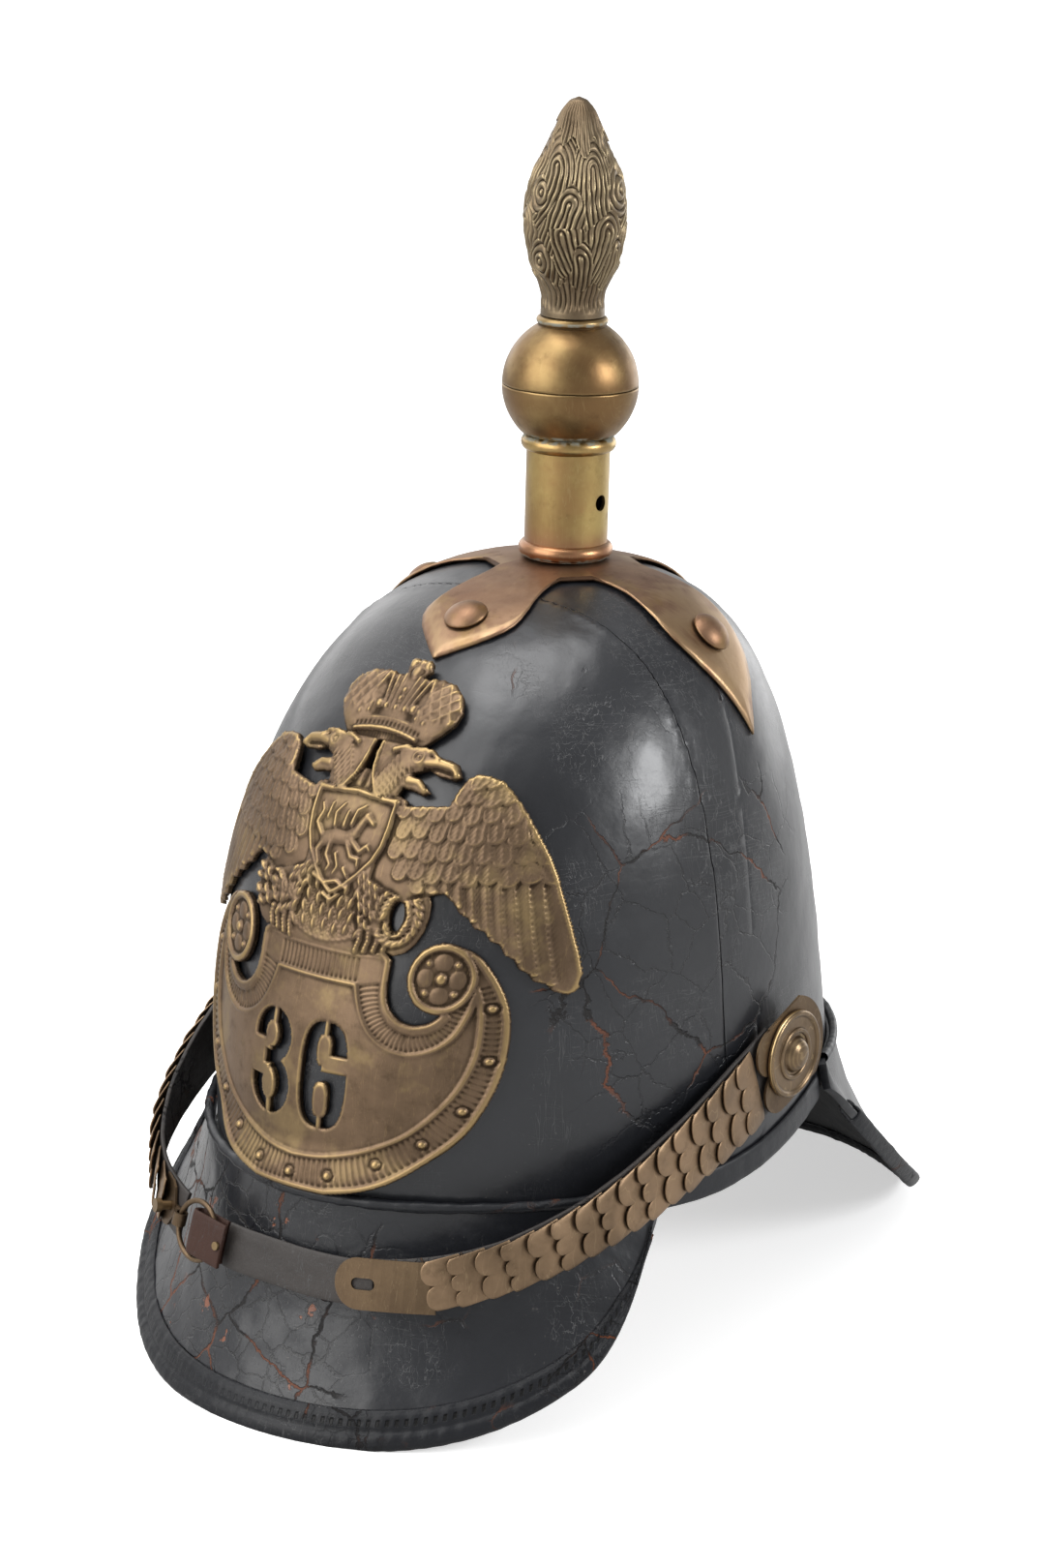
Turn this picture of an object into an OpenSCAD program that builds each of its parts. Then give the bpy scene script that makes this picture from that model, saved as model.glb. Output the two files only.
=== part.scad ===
// Black leather spiked helmet of the middle of the nineteenth century, worn facing -Y.
// It stands on the lips of its two visors at Z = 0, midway between their edges.

/* [Leather skull] */
// Height of the front rim above the table
rim_z = 63; // [60:0.5:66]
// How much higher the rim lies behind the ears
rim_rise = 13; // [8:0.5:15]
// Height of the crown above the table
crown_z = 238; // [228:1:246]
// Half width at the rim
skull_half_w = 92.5; // [88:0.5:96]
// Reach of the forehead ahead of the finial
skull_front_reach = 128; // [122:1:132]
// Reach of the nape behind the finial
skull_rear_reach = 99.5; // [94:0.5:104]
// Thickness of the skull leather
leather_t = 3; // [2:0.1:4]
// Distance of the side seams and crown seam ahead of the finial
seam_ahead = 32; // [24:1:38]

/* [Visors] */
// Thickness of the visor leather
visor_t = 2.6; // [2:0.1:3.2]
// Height of the front visor's stitched flange on the skull
front_flange_z = 68.4; // [67:0.2:71]
// Reach of the front visor's lip ahead of the finial
front_visor_reach = 152.5; // [147:0.5:158]
// Half width across the ends of the front visor
front_visor_half_w = 98; // [95:0.5:101]
// Distance of the front visor's ends ahead of the finial
front_visor_ends = 62; // [58:1:66]
// Height of the rear visor's stitched flange on the skull
rear_flange_z = 86; // [83:0.5:90]
// Reach of the rear visor's lip behind the finial
rear_visor_reach = 169.2; // [162:0.2:176]
// Half width across the ends of the rear visor
rear_visor_half_w = 88.7; // [87:0.1:92]
// Distance of the rear visor's ends behind the finial
rear_visor_ends = 29.2; // [26:0.2:34]
// Width of the leather binding folded over the visor edges
binding_w = 11; // [8:0.5:13]
// Thickness of the binding leather
binding_t = 1; // [0.8:0.1:1.4]

/* [Finial] */
// Outer radius of the beads at both ends of the socket tube
bead_r = 14.8; // [14:0.1:16]
// Height of each bead
bead_h = 5; // [4:0.1:6]
// Outer radius of the socket tube
tube_r = 13; // [12.4:0.1:13.6]
// Wall of the socket tube
tube_wall = 1.2; // [0.8:0.1:1.6]
// Height of the socket tube over both beads
tube_h = 38.4; // [34:0.2:42]
// Radius of the small round hole in the tube
vent_r = 2.5; // [2:0.1:3]
// Height of that hole above the foot of the tube
vent_h = 18.3; // [16:0.1:19]
// Length of the spigot that plugs into the tube
spigot_h = 12; // [8:0.5:13]
// Outer radius of the ball
ball_r = 21.2; // [19:0.1:23]
// Wall of the spun ball
ball_wall = 1.2; // [0.8:0.1:1.6]
// Radius of the neck ring between ball and flame
neck_r = 10.4; // [9.5:0.1:11.5]
// Height of the neck ring
neck_h = 3; // [2:0.2:4]
// Height of the flame
flame_h = 66.4; // [60:0.5:72]
// Largest radius of the flame
flame_r = 15.3; // [13:0.1:17]
// Number of twisted flutes on the flame
flame_flutes = 8; // [6:1:10]

/* [Petal base] */
// Length of a side petal from the axis to its tip
petal_reach = 71.5; // [66:0.5:75]
// Half width of a petal at its belly
petal_half_w = 16.5; // [14:0.5:18]
// Distance of the rivets from the axis, on the side petals
rivet_from_axis = 54; // [50:0.5:57]
// Radius of a domed rivet head
rivet_r = 6.9; // [5.5:0.1:8]
// Height of a domed rivet head
rivet_h = 3.4; // [2.5:0.1:4]
// Thickness of the sheet brass
brass_t = 1; // [0.8:0.1:1.3]

/* [Chin strap] */
// Height of the two pivots above the table
pivot_z = 99.9; // [97:0.1:103]
// Distance of the pivots ahead of the finial
pivot_ahead = 6.1; // [4:0.1:9]
// Distance of the strap's front behind the lip of the front visor
strap_behind_lip = 15.67; // [11:0.01:18]
// Slope of the strap loop towards the front, in degrees
strap_slope = 22; // [20:0.5:24]
// Number of brass scales on each side
scale_count = 16; // [10:1:16]
// Spacing of the scales along the strap
scale_pitch = 7.8; // [7.5:0.05:8.2]
// Distance along the strap from the front to the first scale's edge
first_scale = 49.6; // [48:0.2:54]
// Overlap of one scale on the next
scale_lap = 4.6; // [3:0.1:6]
// Thickness of a scale
scale_t = 0.7; // [0.5:0.05:0.9]
// Thickness of the strap leather
strap_t = 1.4; // [1:0.1:1.8]
// Width of the plain leather strap at the front
strap_w = 13.8; // [12:0.2:15]
// Width of the end plates
end_plate_w = 15.5; // [14.5:0.1:17]
// Length of the slot in the left end plate
slot_l = 7.6; // [6:0.1:9]
// Width of the slot in the left end plate
slot_w = 3.5; // [3:0.1:4.5]
// Radius of the brass ring, to the middle of its wire
ring_r = 9; // [8.6:0.1:9.4]
// Radius of the ring's wire
ring_wire_r = 0.85; // [0.7:0.05:0.95]
// Radius of the pivot posts
post_r = 2.5; // [2:0.1:3]
// Outer radius of the rosettes
rosette_r = 13.7; // [12:0.1:15]

/* [Front plate] */
// Height of the plate's lowest edge above the table
plate_foot_z = 69.5; // [69.5:0.1:71]
// Relief of the plate's ridges
ridge_h = 1.2; // [0.8:0.1:1.6]
// Relief of the eagle
eagle_h = 1.6; // [1:0.1:2.2]

/* [Liner] */
// Height of the sweatband
sweatband_h = 45; // [35:1:50]
// Thickness of the liner leather
liner_t = 1.2; // [0.9:0.1:1.5]
// Number of liner tongues
tongue_count = 8; // [6:1:9]
// Radius of the ring of lace that gathers the tongues
gather_r = 25; // [20:1:30]

/* [Fits] */
// Gap between pieces that are sewn, riveted or stamped together
seat_gap = 0.35; // [0.3:0.05:0.45]
// Radial clearance of a bore on what turns or slides in it
running_gap = 0.05; // [0.03:0.01:0.09]
// Clearance of a plain hole on its screw
screw_gap = 0.15; // [0.1:0.05:0.3]

/* [Hidden] */
$fn = 48;

leather = [0.12, 0.12, 0.13];
worn_leather = [0.22, 0.19, 0.17];
brass = [0.55, 0.44, 0.25];
red_brass = [0.5, 0.36, 0.24];
tan_brass = [0.6, 0.48, 0.36];
steel = [0.5, 0.5, 0.5];

// The bounding box of the visor lips is centred on the origin.
mid_y = (rear_visor_reach - front_visor_reach) / 2;
skull_base_z = 64;
skull_h = crown_z - skull_base_z;

function flat(rows) = [for (r = rows) each r];
function unit(v) = v / norm(v);
function mix(a, b, k) = a + (b - a) * k;
function ease(k) = let (c = min(1, max(0, k))) c * c * (3 - 2 * c);
function sgnpow(c, p) = sign(c) * pow(abs(c), p);

// A closed body between two grids of points, outer and inner, row by row.
module skinned(outer, inner, cols, rows, loop = false) {
    n = cols * rows;
    last = loop ? cols - 1 : cols - 2;
    quad = function(a, b, c, d) [[a, b, c], [a, c, d]];
    at = function(i, j) j * cols + i % cols;
    top = rows - 1;
    skin = [for (j = [0 : top - 1]) for (i = [0 : last])
        each quad(at(i, j), at(i, j + 1), at(i + 1, j + 1), at(i + 1, j))];
    lining = [for (j = [0 : top - 1]) for (i = [0 : last])
        each quad(n + at(i, j), n + at(i + 1, j), n + at(i + 1, j + 1), n + at(i, j + 1))];
    ends = [for (i = [0 : last]) each concat(
        quad(at(i, 0), at(i + 1, 0), n + at(i + 1, 0), n + at(i, 0)),
        quad(at(i, top), n + at(i, top), n + at(i + 1, top), at(i + 1, top)))];
    edge = cols - 1;
    sides = loop ? [] : [for (j = [0 : top - 1]) each concat(
        quad(at(0, j), n + at(0, j), n + at(0, j + 1), at(0, j + 1)),
        quad(at(edge, j), at(edge, j + 1), n + at(edge, j + 1), n + at(edge, j)))];
    polyhedron(concat(outer, inner), concat(skin, lining, ends, sides));
}

// Outward normal of a surface s(u, v), with u and v from 0 to 1.
function normal(s, u, v, h = 0.002) = unit(cross(
    s(min(1, u + h), v) - s(max(0, u - h), v),
    s(u, min(1, v + h)) - s(u, max(0, v - h))));

// A sheet of thickness t whose outer face is s(u, v), with nu by nv cells.
module sheet(s, nu, nv, t, loop = false) {
    cols = loop ? nu : nu + 1;
    outer = [for (j = [0 : nv]) for (i = [0 : cols - 1]) s(i / nu, j / nv)];
    inner = [for (j = [0 : nv]) for (i = [0 : cols - 1]) s(i / nu, j / nv) - t * normal(s, i / nu, j / nv)];
    skinned(outer, inner, cols, nv + 1, loop);
}

// Horizontal sections of the skull, by level u from 0 at the rim to 1 at the crown.
function level(z) = (z - skull_base_z) / skull_h;
function dome(u, p, q) = pow(1 - pow(min(1, max(0, u)), p), 1 / q);
function half_w(u) = (skull_half_w - 14.5 * u) * dome(u, 4, 3.25);
function reach_f(u) = (skull_front_reach - 10.5 * u) * dome(u, 2.6, 2.3);
function reach_r(u) = (skull_rear_reach - 30.5 * u) * dome(u, 4, 3.25);
function mid(u) = (reach_r(u) - reach_f(u)) / 2;
function half_l(u) = (reach_r(u) + reach_f(u)) / 2;
function egg(u) = 1.8 + 0.54 * u;
function skull_point(a, u, grow = 0) = let (p = sin(a) < 0 ? egg(u) : 2) [
    (half_w(u) + grow) * sgnpow(cos(a), 2 / p),
    mid(u) + (half_l(u) + grow) * sgnpow(sin(a), 2 / p),
    skull_base_z + skull_h * u];
function across(d, span, p) = pow(max(0, 1 - pow(abs(d) / span, p)), 1 / p);
function front_y(x, z, grow = 0) = let (u = level(z))
    mid(u) - (half_l(u) + grow) * across(x, half_w(u) + grow, egg(u));
function rear_y(x, z, grow = 0) = let (u = level(z))
    mid(u) + (half_l(u) + grow) * across(x, half_w(u) + grow, 2);
function side_x(y, z, grow = 0) = let (u = level(z))
    (half_w(u) + grow) * across(y - mid(u), half_l(u) + grow, y < mid(u) ? egg(u) : 2);
function rim(y) = rim_z + rim_rise * ease((y + 50) / 95);

// How far a point lies out of the skull, 1 on its surface, and the surface's normal there.
function swell(p) = let (u = level(p.z), e = p.y < mid(u) ? egg(u) : 2)
    pow(abs(p.x) / half_w(u), e) + pow(abs(p.y - mid(u)) / half_l(u), e);
function skin_normal(p, h = 0.02) = norm([p.x, p.y]) < 12 ? [0, 0, 1] :
    unit([for (d = [[h, 0, 0], [0, h, 0], [0, 0, h]]) swell(p + d) - swell(p - d)]);
// Height of the crown's surface over a point in plan, by halving.
function crown_height(x, y, low, high, n = 26) = let (m = (low + high) / 2)
    n == 0 ? m : swell([x, y, m]) > 1 ? crown_height(x, y, low, m, n - 1) : crown_height(x, y, m, high, n - 1);
function on_crown(x, y) = [x, y, crown_height(x, y, 150, crown_z - 0.001)];

module placed() {
    translate([0, -mid_y, 0]) children();
}

// Turns the Z axis to a direction and moves the origin to a point.
module facing(p, n) {
    translate(p) rotate([0, acos(n.z), atan2(n.y, n.x)]) children();
}

// Skull
crown_hole_r = 4.6;
function shell_point(k, v) = let (
    a = 360 * k,
    low = level(rim(skull_point(a, 0).y)),
    u = 1 - (1 - low) * pow(1 - 0.97 * v, 3)) skull_point(a, u);
module skull_shell() {
    difference() {
        sheet(function(k, v) shell_point(k, v), 40, 15, leather_t, true);
        translate([0, 0, crown_z - 20]) cylinder(r = crown_hole_r + screw_gap, h = 40);
    }
}
module skull_front() {
    color(leather) placed() difference() {
        intersection() {
            skull_shell();
            translate([-150, -300 - seam_ahead - seat_gap / 2, 0]) cube([300, 300, 300]);
        }
        plate_screw_places() cylinder(r = plate_screw_r + screw_gap, h = 20, center = true);
        petal_places([1]) cylinder(r = rivet_shank_r + screw_gap, h = 20, center = true);
    }
}
module skull_rear() {
    color(leather) placed() difference() {
        intersection() {
            skull_shell();
            translate([-150, -seam_ahead + seat_gap / 2, 0]) cube([300, 300, 300]);
        }
        petal_places([0, 2, 3]) cylinder(r = rivet_shank_r + screw_gap, h = 20, center = true);
        for (side = [-1, 1]) {
            pivot(side) cylinder(r = post_r + screw_gap, h = 40, center = true);
        }
    }
}

// Visors: a ruled surface from the lip to the flange on the skull, hollow along its slope.
lip_z = 0.7;
flange_lift = visor_t + seat_gap;
function front_lip(a) = let (c = max(0, cos(a))) [
    front_visor_half_w * sin(a) - 12 * sign(a) * ease((abs(a) - 60) / 30),
    -front_visor_ends - (front_visor_reach - front_visor_ends) * pow(c, 1.25),
    mix(lip_z, front_flange_z - 1.5, pow(1 - c, 1.7))];
function front_flange(a) = let (x = side_x(-front_visor_ends, front_flange_z, flange_lift) * sin(a))
    [x, front_y(x, front_flange_z, flange_lift), front_flange_z];
function rear_lip(a) = let (c = max(0, cos(a))) [
    rear_visor_half_w * sin(a),
    rear_visor_ends + (rear_visor_reach - rear_visor_ends) * pow(c, 0.88),
    mix(lip_z, rear_flange_z - 9.5, pow(1 - c, 1.89))];
function rear_flange(a) = let (x = side_x(rear_visor_ends, rear_flange_z, flange_lift) * sin(a))
    [x, rear_y(x, rear_flange_z, flange_lift), rear_flange_z];
function ruled(low, high, v) = let (k = 1 - pow(1 - v, 1.5))
    [mix(low.x, high.x, k), mix(low.y, high.y, k), mix(low.z, high.z, v)];
function front_brim(u, v) = let (a = 180 * u - 90) ruled(front_lip(a), front_flange(a), v);
function rear_brim(u, v) = let (a = 90 - 180 * u) ruled(rear_lip(a), rear_flange(a), v);
module front_visor() {
    color(leather) placed() sheet(function(u, v) front_brim(u, v), 28, 4, visor_t);
}
module rear_visor() {
    color(leather) placed() sheet(function(u, v) rear_brim(u, v), 28, 4, visor_t);
}

// A strip folded over the low edge of a sheet s(u, v) of thickness t.
module folded_binding(s, nu, t, w) {
    fold = function(u, k) let (
        edge = s(u, 0),
        reach = s(u, 0.25) - edge,
        share = min(1, w / norm(reach)),
        n = normal(s, u, 0.12, 0.12),
        back = edge - t * normal(s, u, 0),
        back_in = mix(back, s(u, 0.25) - t * normal(s, u, 0.25), share),
        out = -unit(reach),
        near = seat_gap + 0.3,
        far = near + binding_t)
        k == 0 ? [edge + share * reach + far * n, edge + share * reach + near * n] :
        k == 1 ? [edge + far * n + out * near, edge + near * n + out * near] :
        k == 2 ? [(edge + back) / 2 + out * far, (edge + back) / 2 + out * near] :
        k == 3 ? [back - far * n + out * near, back - near * n + out * near] :
        [back_in - far * n, back_in - near * n];
    grid = function(side) [for (k = [4 : -1 : 0]) for (i = [1 : nu - 1]) fold(i / nu, k)[side]];
    skinned(grid(0), grid(1), nu - 1, 5);
}
// Trims what lies below the table, which leaves a flat seat on each lip.
module seated() {
    difference() {
        children();
        translate([-150, -250, -20]) cube([300, 500, 20]);
    }
}
module front_visor_binding() {
    color(leather) placed() seated() {
        folded_binding(function(u, v) front_brim(u, v), 28, visor_t, binding_w);
    }
}
module rear_visor_binding() {
    color(leather) placed() seated() {
        folded_binding(function(u, v) rear_brim(u, v), 28, visor_t, binding_w);
    }
}
rim_binding_w = 7;
module rim_binding() {
    from = -front_visor_ends + 3;
    to = rear_visor_ends - 4;
    edge = function(u, v) let (y = mix(from, to, u), z = rim(y) + 30 * v) [side_x(y, z), y, z];
    color(leather) placed() for (side = [0, 1]) {
        mirror([side, 0, 0]) folded_binding(function(u, v) edge(u, v), 12, leather_t, rim_binding_w);
    }
}

// Front plate, drawn in X and Z above its foot and pressed onto the skull's front.
plate_screw_r = 1.5;
plate_screws_at = [[40, 110], [44, 166]];
plate_thin = 1.1;
// The outlines are drawn from 69.5 up and stretched to the height of the skull above the plate's foot.
drawn_foot = 69.5;
plate_stretch = (crown_z - plate_foot_z) / 168.5;
function plate_z(y) = plate_foot_z + (y - drawn_foot) * plate_stretch;
function plate_back(x, y) = let (
    z = plate_z(y),
    lift = seat_gap + 0.4 + (flange_lift + seat_gap) * ease((drawn_foot + 16 - y) / 14)
        + 1.5 * ease((y - 166) / 14),
    p = [x, front_y(x, z), z])
    p + lift * skin_normal(p);
module plate_slab(h, t) {
    span = function(y) mix(60, 74, ease((y - 100) / 40)) - 52 * ease((y - 170) / 30);
    s = function(u, v) let (y = mix(drawn_foot - 2, 224, v), x = (2 * u - 1) * span(y), p = plate_back(x, y))
        p + (plate_thin + h) * skin_normal(p);
    sheet(s, 10, 12, t);
}
function arc(c, r, from, to, n = 8) = [for (i = [0 : n]) let (a = mix(from, to, i / n)) c + r * [cos(a), sin(a)]];
volute = [37.3, 137.2];
hook = [31.5, 131];
shield_half = concat(
    [[-0.5, 69.5], [12, 70], [22, 72.3], [30, 76], [38, 82], [43, 86.5], [47, 91], [50.5, 98], [53, 105],
        [54.5, 112], [55, 120], [54.6, 127], [53, 133], [50, 139], [46, 144.3], [42, 146.5], [36, 147.7], volute],
    arc(hook, 8, -30, -180), [[22, 136], [20.5, 144], [-0.5, 144]]);
wing_half = [[28.5, 184], [29.3, 188], [30.5, 191], [33, 192.8], [36, 192.6], [40, 191.3], [44, 188], [48, 183.5],
    [52, 178], [55.5, 172.5], [58.5, 166.5], [61, 159.5], [63.5, 152], [65.5, 145], [66.8, 139], [66.5, 134.5],
    [65, 132.6], [62, 134], [58, 137], [55.5, 140], [53.5, 143], [51, 146], [48.5, 147.5], [46, 150.5], [43, 152],
    [40, 155], [37, 158], [34.5, 160.5], [32.5, 161.5], [24, 158], [12, 162], [12, 182], [20, 183]];
body_half = [[-0.5, 141], [13, 141], [21, 143], [23, 148], [30, 152], [32, 157], [30, 162], [24, 166], [16, 184],
    [12.5, 185], [8, 183.5], [4, 186], [1.5, 190], [-0.5, 190]];
head_half = [[4, 185.5], [1.5, 190], [1, 199], [8, 198.5], [12, 197], [16, 197.5], [19, 197], [20.5, 195.7],
    [24, 195.5], [27, 194.5], [29, 191.5], [27.5, 190.5], [25, 191], [22, 191.3], [19, 192.5], [15, 191],
    [15, 190], [18, 189.8], [20, 188], [22, 186.8], [20, 185.8], [17, 186.6], [13.3, 187], [12.5, 184], [6, 183]];
crown_half = [[-0.5, 198], [14, 197.5], [18, 201], [20.5, 204], [21, 207], [19, 210.5], [15, 213], [10, 213.8],
    [5, 213.2], [3, 213.6], [4.4, 215.3], [3.4, 217], [-0.5, 217.6]];
arms_half = [[-0.5, 183.2], [14.5, 183.2], [14.5, 176], [14, 171], [12, 166.5], [8, 162], [4, 158], [-0.5, 155.7]];
module both_sides() {
    children();
    mirror([1, 0]) children();
}
module shield() {
    both_sides() polygon(shield_half);
}
module escutcheon() {
    both_sides() polygon(arms_half);
}
module plate_outline() {
    $fn = 16;
    shield();
    difference() {
        both_sides() {
            translate(volute) circle(9.6);
            polygon(wing_half);
            polygon(body_half);
            polygon(head_half);
            polygon(crown_half);
        }
        both_sides() translate([22.5, 151.5]) circle(2.4);
    }
}
module pressed(h) {
    intersection() {
        rotate([90, 0, 0]) linear_extrude(200) translate([0, plate_foot_z]) scale([1, plate_stretch]) {
            translate([0, -drawn_foot]) children();
        }
        plate_slab(h, h > 0 ? h + 0.5 : plate_thin);
    }
}
// A ridge along the shield's edge, from one inset to another.
module shield_ridge(from, to) {
    difference() {
        offset(delta = -from) shield();
        offset(delta = -to) shield();
    }
}
module shield_ridges() {
    $fn = 12;
    shield_ridge(0.2, 1.7);
    intersection() {
        shield_ridge(7.5, 8.9);
        translate([-60, 0]) square([120, 128]);
    }
    both_sides() {
        difference() {
            translate(volute) circle(9.5);
            translate(volute) circle(7.8);
        }
        translate(volute) circle(1.6, $fn = 8);
        for (a = [45 : 90 : 315]) translate(volute + 4.4 * [cos(a), sin(a)]) circle(2.2, $fn = 8);
    }
}
module feathers() {
    both_sides() {
        for (i = [0 : 5]) {
            tip = mix([40, 155.5], [64.5, 136], i / 5);
            root = mix([36, 173], [50, 175], i / 5);
            hull() {
                translate(tip) circle(1.5, $fn = 8);
                translate(root) circle(1.5, $fn = 8);
            }
        }
        for (i = [0 : 5]) {
            tip = mix([33, 165.5], [56, 162], i / 5);
            translate(tip) circle(2.1, $fn = 10);
        }
        for (i = [0 : 4]) {
            tip = mix([31, 174], [50, 174.5], i / 4);
            translate(tip) circle(2, $fn = 10);
        }
    }
}
module beads() {
    beads_at = [[0, 74.7], [14.5, 75.8], [27.7, 81], [38.5, 87.7], [46.5, 98.3], [51, 113.5], [50, 128.5]];
    for (side = [-1, 1]) for (b = beads_at) {
        if (b.x > 0 || side > 0) {
            p = plate_back(side * b.x, b.y);
            facing(p, skin_normal(p)) hull() {
                cylinder(r = 1.3, h = plate_thin, $fn = 8);
                cylinder(r = 0.6, h = plate_thin + 1.1, $fn = 8);
            }
        }
    }
}
module front_plate() {
    color(brass) placed() {
        pressed(0) plate_outline();
        pressed(ridge_h) shield_ridges();
        pressed(eagle_h * 0.5) feathers();
        pressed(eagle_h) {
            offset(delta = -0.4) both_sides() polygon(head_half);
            difference() {
                escutcheon();
                offset(delta = -1.4) escutcheon();
            }
        }
        pressed(eagle_h * 0.8) offset(delta = -0.4) both_sides() polygon(crown_half);
        beads();
    }
}
module plate_screw_places() {
    for (side = [-1, 1]) for (q = plate_screws_at) {
        p = plate_back(side * q.x, q.y);
        facing(p, skin_normal(p)) children();
    }
}
nut_h = 2.4;
module hex_nut(r, h, bore_r) {
    difference() {
        cylinder(r = r, h = h, $fn = 6);
        translate([0, 0, -1]) cylinder(r = bore_r, h = h + 2);
    }
}
plate_screw_l = leather_t + nut_h + 1.7;
module plate_screws() {
    color(brass) placed() plate_screw_places() {
        translate([0, 0, -plate_screw_l]) cylinder(r = plate_screw_r, h = plate_screw_l - seat_gap - 0.1);
    }
}
module plate_nuts() {
    color(steel) placed() plate_screw_places() {
        translate([0, 0, -plate_screw_l + 0.3]) hex_nut(3, nut_h - 0.6, plate_screw_r + screw_gap);
    }
}

// Petal base: four pointed petals that hug the crown round a raised middle.
rivet_shank_r = 2;
petal_front_share = 0.925;
petal_outline = [[20, 12.7], [32, 13.2], [43, 15.8], [51, 16.5], [60, 13], [66, 6.4], [71.5, 0]];
petal_tip = len(petal_outline) - 1;
petal_steps = 2 * petal_tip + 1;
petal_cols = 4 * petal_steps;
function petal_share(turn) = turn % 2 == 0 ? 1 : petal_front_share;
// Point i of the outline, anticlockwise from the right of the left petal's root.
function petal_edge(i) = let (
    turn = floor(i / petal_steps),
    q = i % petal_steps - petal_tip,
    o = petal_outline[petal_tip - abs(q)],
    x = petal_share(turn) * o.x * petal_reach / 71.5,
    y = sign(q) * o.y * petal_half_w / 16.5,
    a = 90 * turn) [x * cos(a) - y * sin(a), x * sin(a) + y * cos(a)];
petal_rows = [0, 0.3, 0.52, 0.68, 0.8, 0.9, 1];
function petal_plan(i, j) = let (e = petal_edge(i)) mix(7 * unit(e), e, petal_rows[j]);
function petal_lift(q) = seat_gap + brass_t + 0.5 + 0.6 * ease((26 - norm(q)) / 12);
function petal_top(i, j) = let (q = petal_plan(i, j), p = on_crown(q.x, q.y)) p + petal_lift(q) * skin_normal(p);
function petal_under(i, j) = let (q = petal_plan(i, j), p = on_crown(q.x, q.y))
    p + (petal_lift(q) - brass_t) * skin_normal(p);
// The four rivets by number: 0 on the left petal, 1 in front, 2 at the rear, 3 on the right.
module petal_places(which = [0, 1, 2, 3]) {
    for (k = which) {
        a = k == 0 ? 0 : k == 1 ? -90 : k == 2 ? 90 : 180;
        d = rivet_from_axis * (k == 0 || k == 3 ? 1 : petal_front_share);
        p = on_crown(d * cos(a), d * sin(a));
        facing(p, skin_normal(p)) children();
    }
}
module petal_base() {
    rows = len(petal_rows);
    top = [for (j = [rows - 1 : -1 : 0]) for (i = [0 : petal_cols - 1]) petal_top(i, j)];
    under = [for (j = [rows - 1 : -1 : 0]) for (i = [0 : petal_cols - 1]) petal_under(i, j)];
    color(red_brass) placed() difference() {
        skinned(top, under, petal_cols, rows, true);
        petal_places() cylinder(r = rivet_shank_r + screw_gap, h = 20, center = true);
    }
}
module petal_rivets() {
    dome_r = (rivet_r * rivet_r + rivet_h * rivet_h) / (2 * rivet_h);
    shank = leather_t + nut_h + 1.5;
    color(red_brass) placed() petal_places() {
        translate([0, 0, 2 * seat_gap + brass_t + 0.6]) intersection() {
            translate([0, 0, rivet_h - dome_r]) sphere(dome_r, $fn = 64);
            cylinder(r = rivet_r + 1, h = rivet_h + 1);
        }
        translate([0, 0, -shank]) cylinder(r = rivet_shank_r, h = shank + 2 * seat_gap + brass_t + 1);
    }
}
module petal_nuts() {
    color(steel) placed() petal_places() {
        translate([0, 0, -leather_t - nut_h - 1]) hex_nut(4, nut_h, rivet_shank_r + screw_gap);
    }
}

// Socket tube on the petal base, bolted through the crown.
foot_z = crown_z + seat_gap + brass_t + 1.4 - 0.05;
floor_t = 2;
bolt_r = 4;
bore_r = tube_r - tube_wall;
module bead() {
    rotate_extrude($fn = 64) translate([bead_r - bead_h / 2, 0]) circle(bead_h / 2, $fn = 32);
}
module socket_tube() {
    color(brass) placed() translate([0, 0, foot_z]) difference() {
        union() {
            cylinder(r = tube_r, h = tube_h, $fn = 64);
            translate([0, 0, bead_h / 2]) bead();
            translate([0, 0, tube_h - bead_h / 2]) bead();
            cylinder(r = bead_r - bead_h / 2, h = bead_h, $fn = 64);
        }
        translate([0, 0, floor_t]) cylinder(r = bore_r, h = tube_h, $fn = 64);
        translate([0, 0, -1]) cylinder(r = bolt_r + screw_gap, h = floor_t + 2);
        translate([0, 0, vent_h]) rotate([0, 90, 0]) cylinder(r = vent_r, h = 2 * tube_r, $fn = 32);
    }
}
washer_t = 1.6;
socket_nut_h = 4.5;
washer_z = crown_z - leather_t - seat_gap - washer_t - 0.4;
module socket_bolt() {
    low = washer_z - seat_gap - socket_nut_h - 2;
    color(steel) placed() {
        translate([0, 0, low]) cylinder(r = bolt_r, h = foot_z + floor_t + 0.2 - low);
        translate([0, 0, foot_z + floor_t + 0.05]) cylinder(r = 2 * bolt_r - 1, h = 3.5);
    }
}
module socket_washer() {
    color(steel) placed() translate([0, 0, washer_z]) difference() {
        cylinder(r = 9, h = washer_t);
        translate([0, 0, -1]) cylinder(r = bolt_r + screw_gap, h = washer_t + 2);
    }
}
module socket_nut() {
    color(steel) placed() translate([0, 0, washer_z - socket_nut_h - 0.05]) {
        hex_nut(7.5, socket_nut_h, bolt_r + screw_gap);
    }
}

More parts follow.
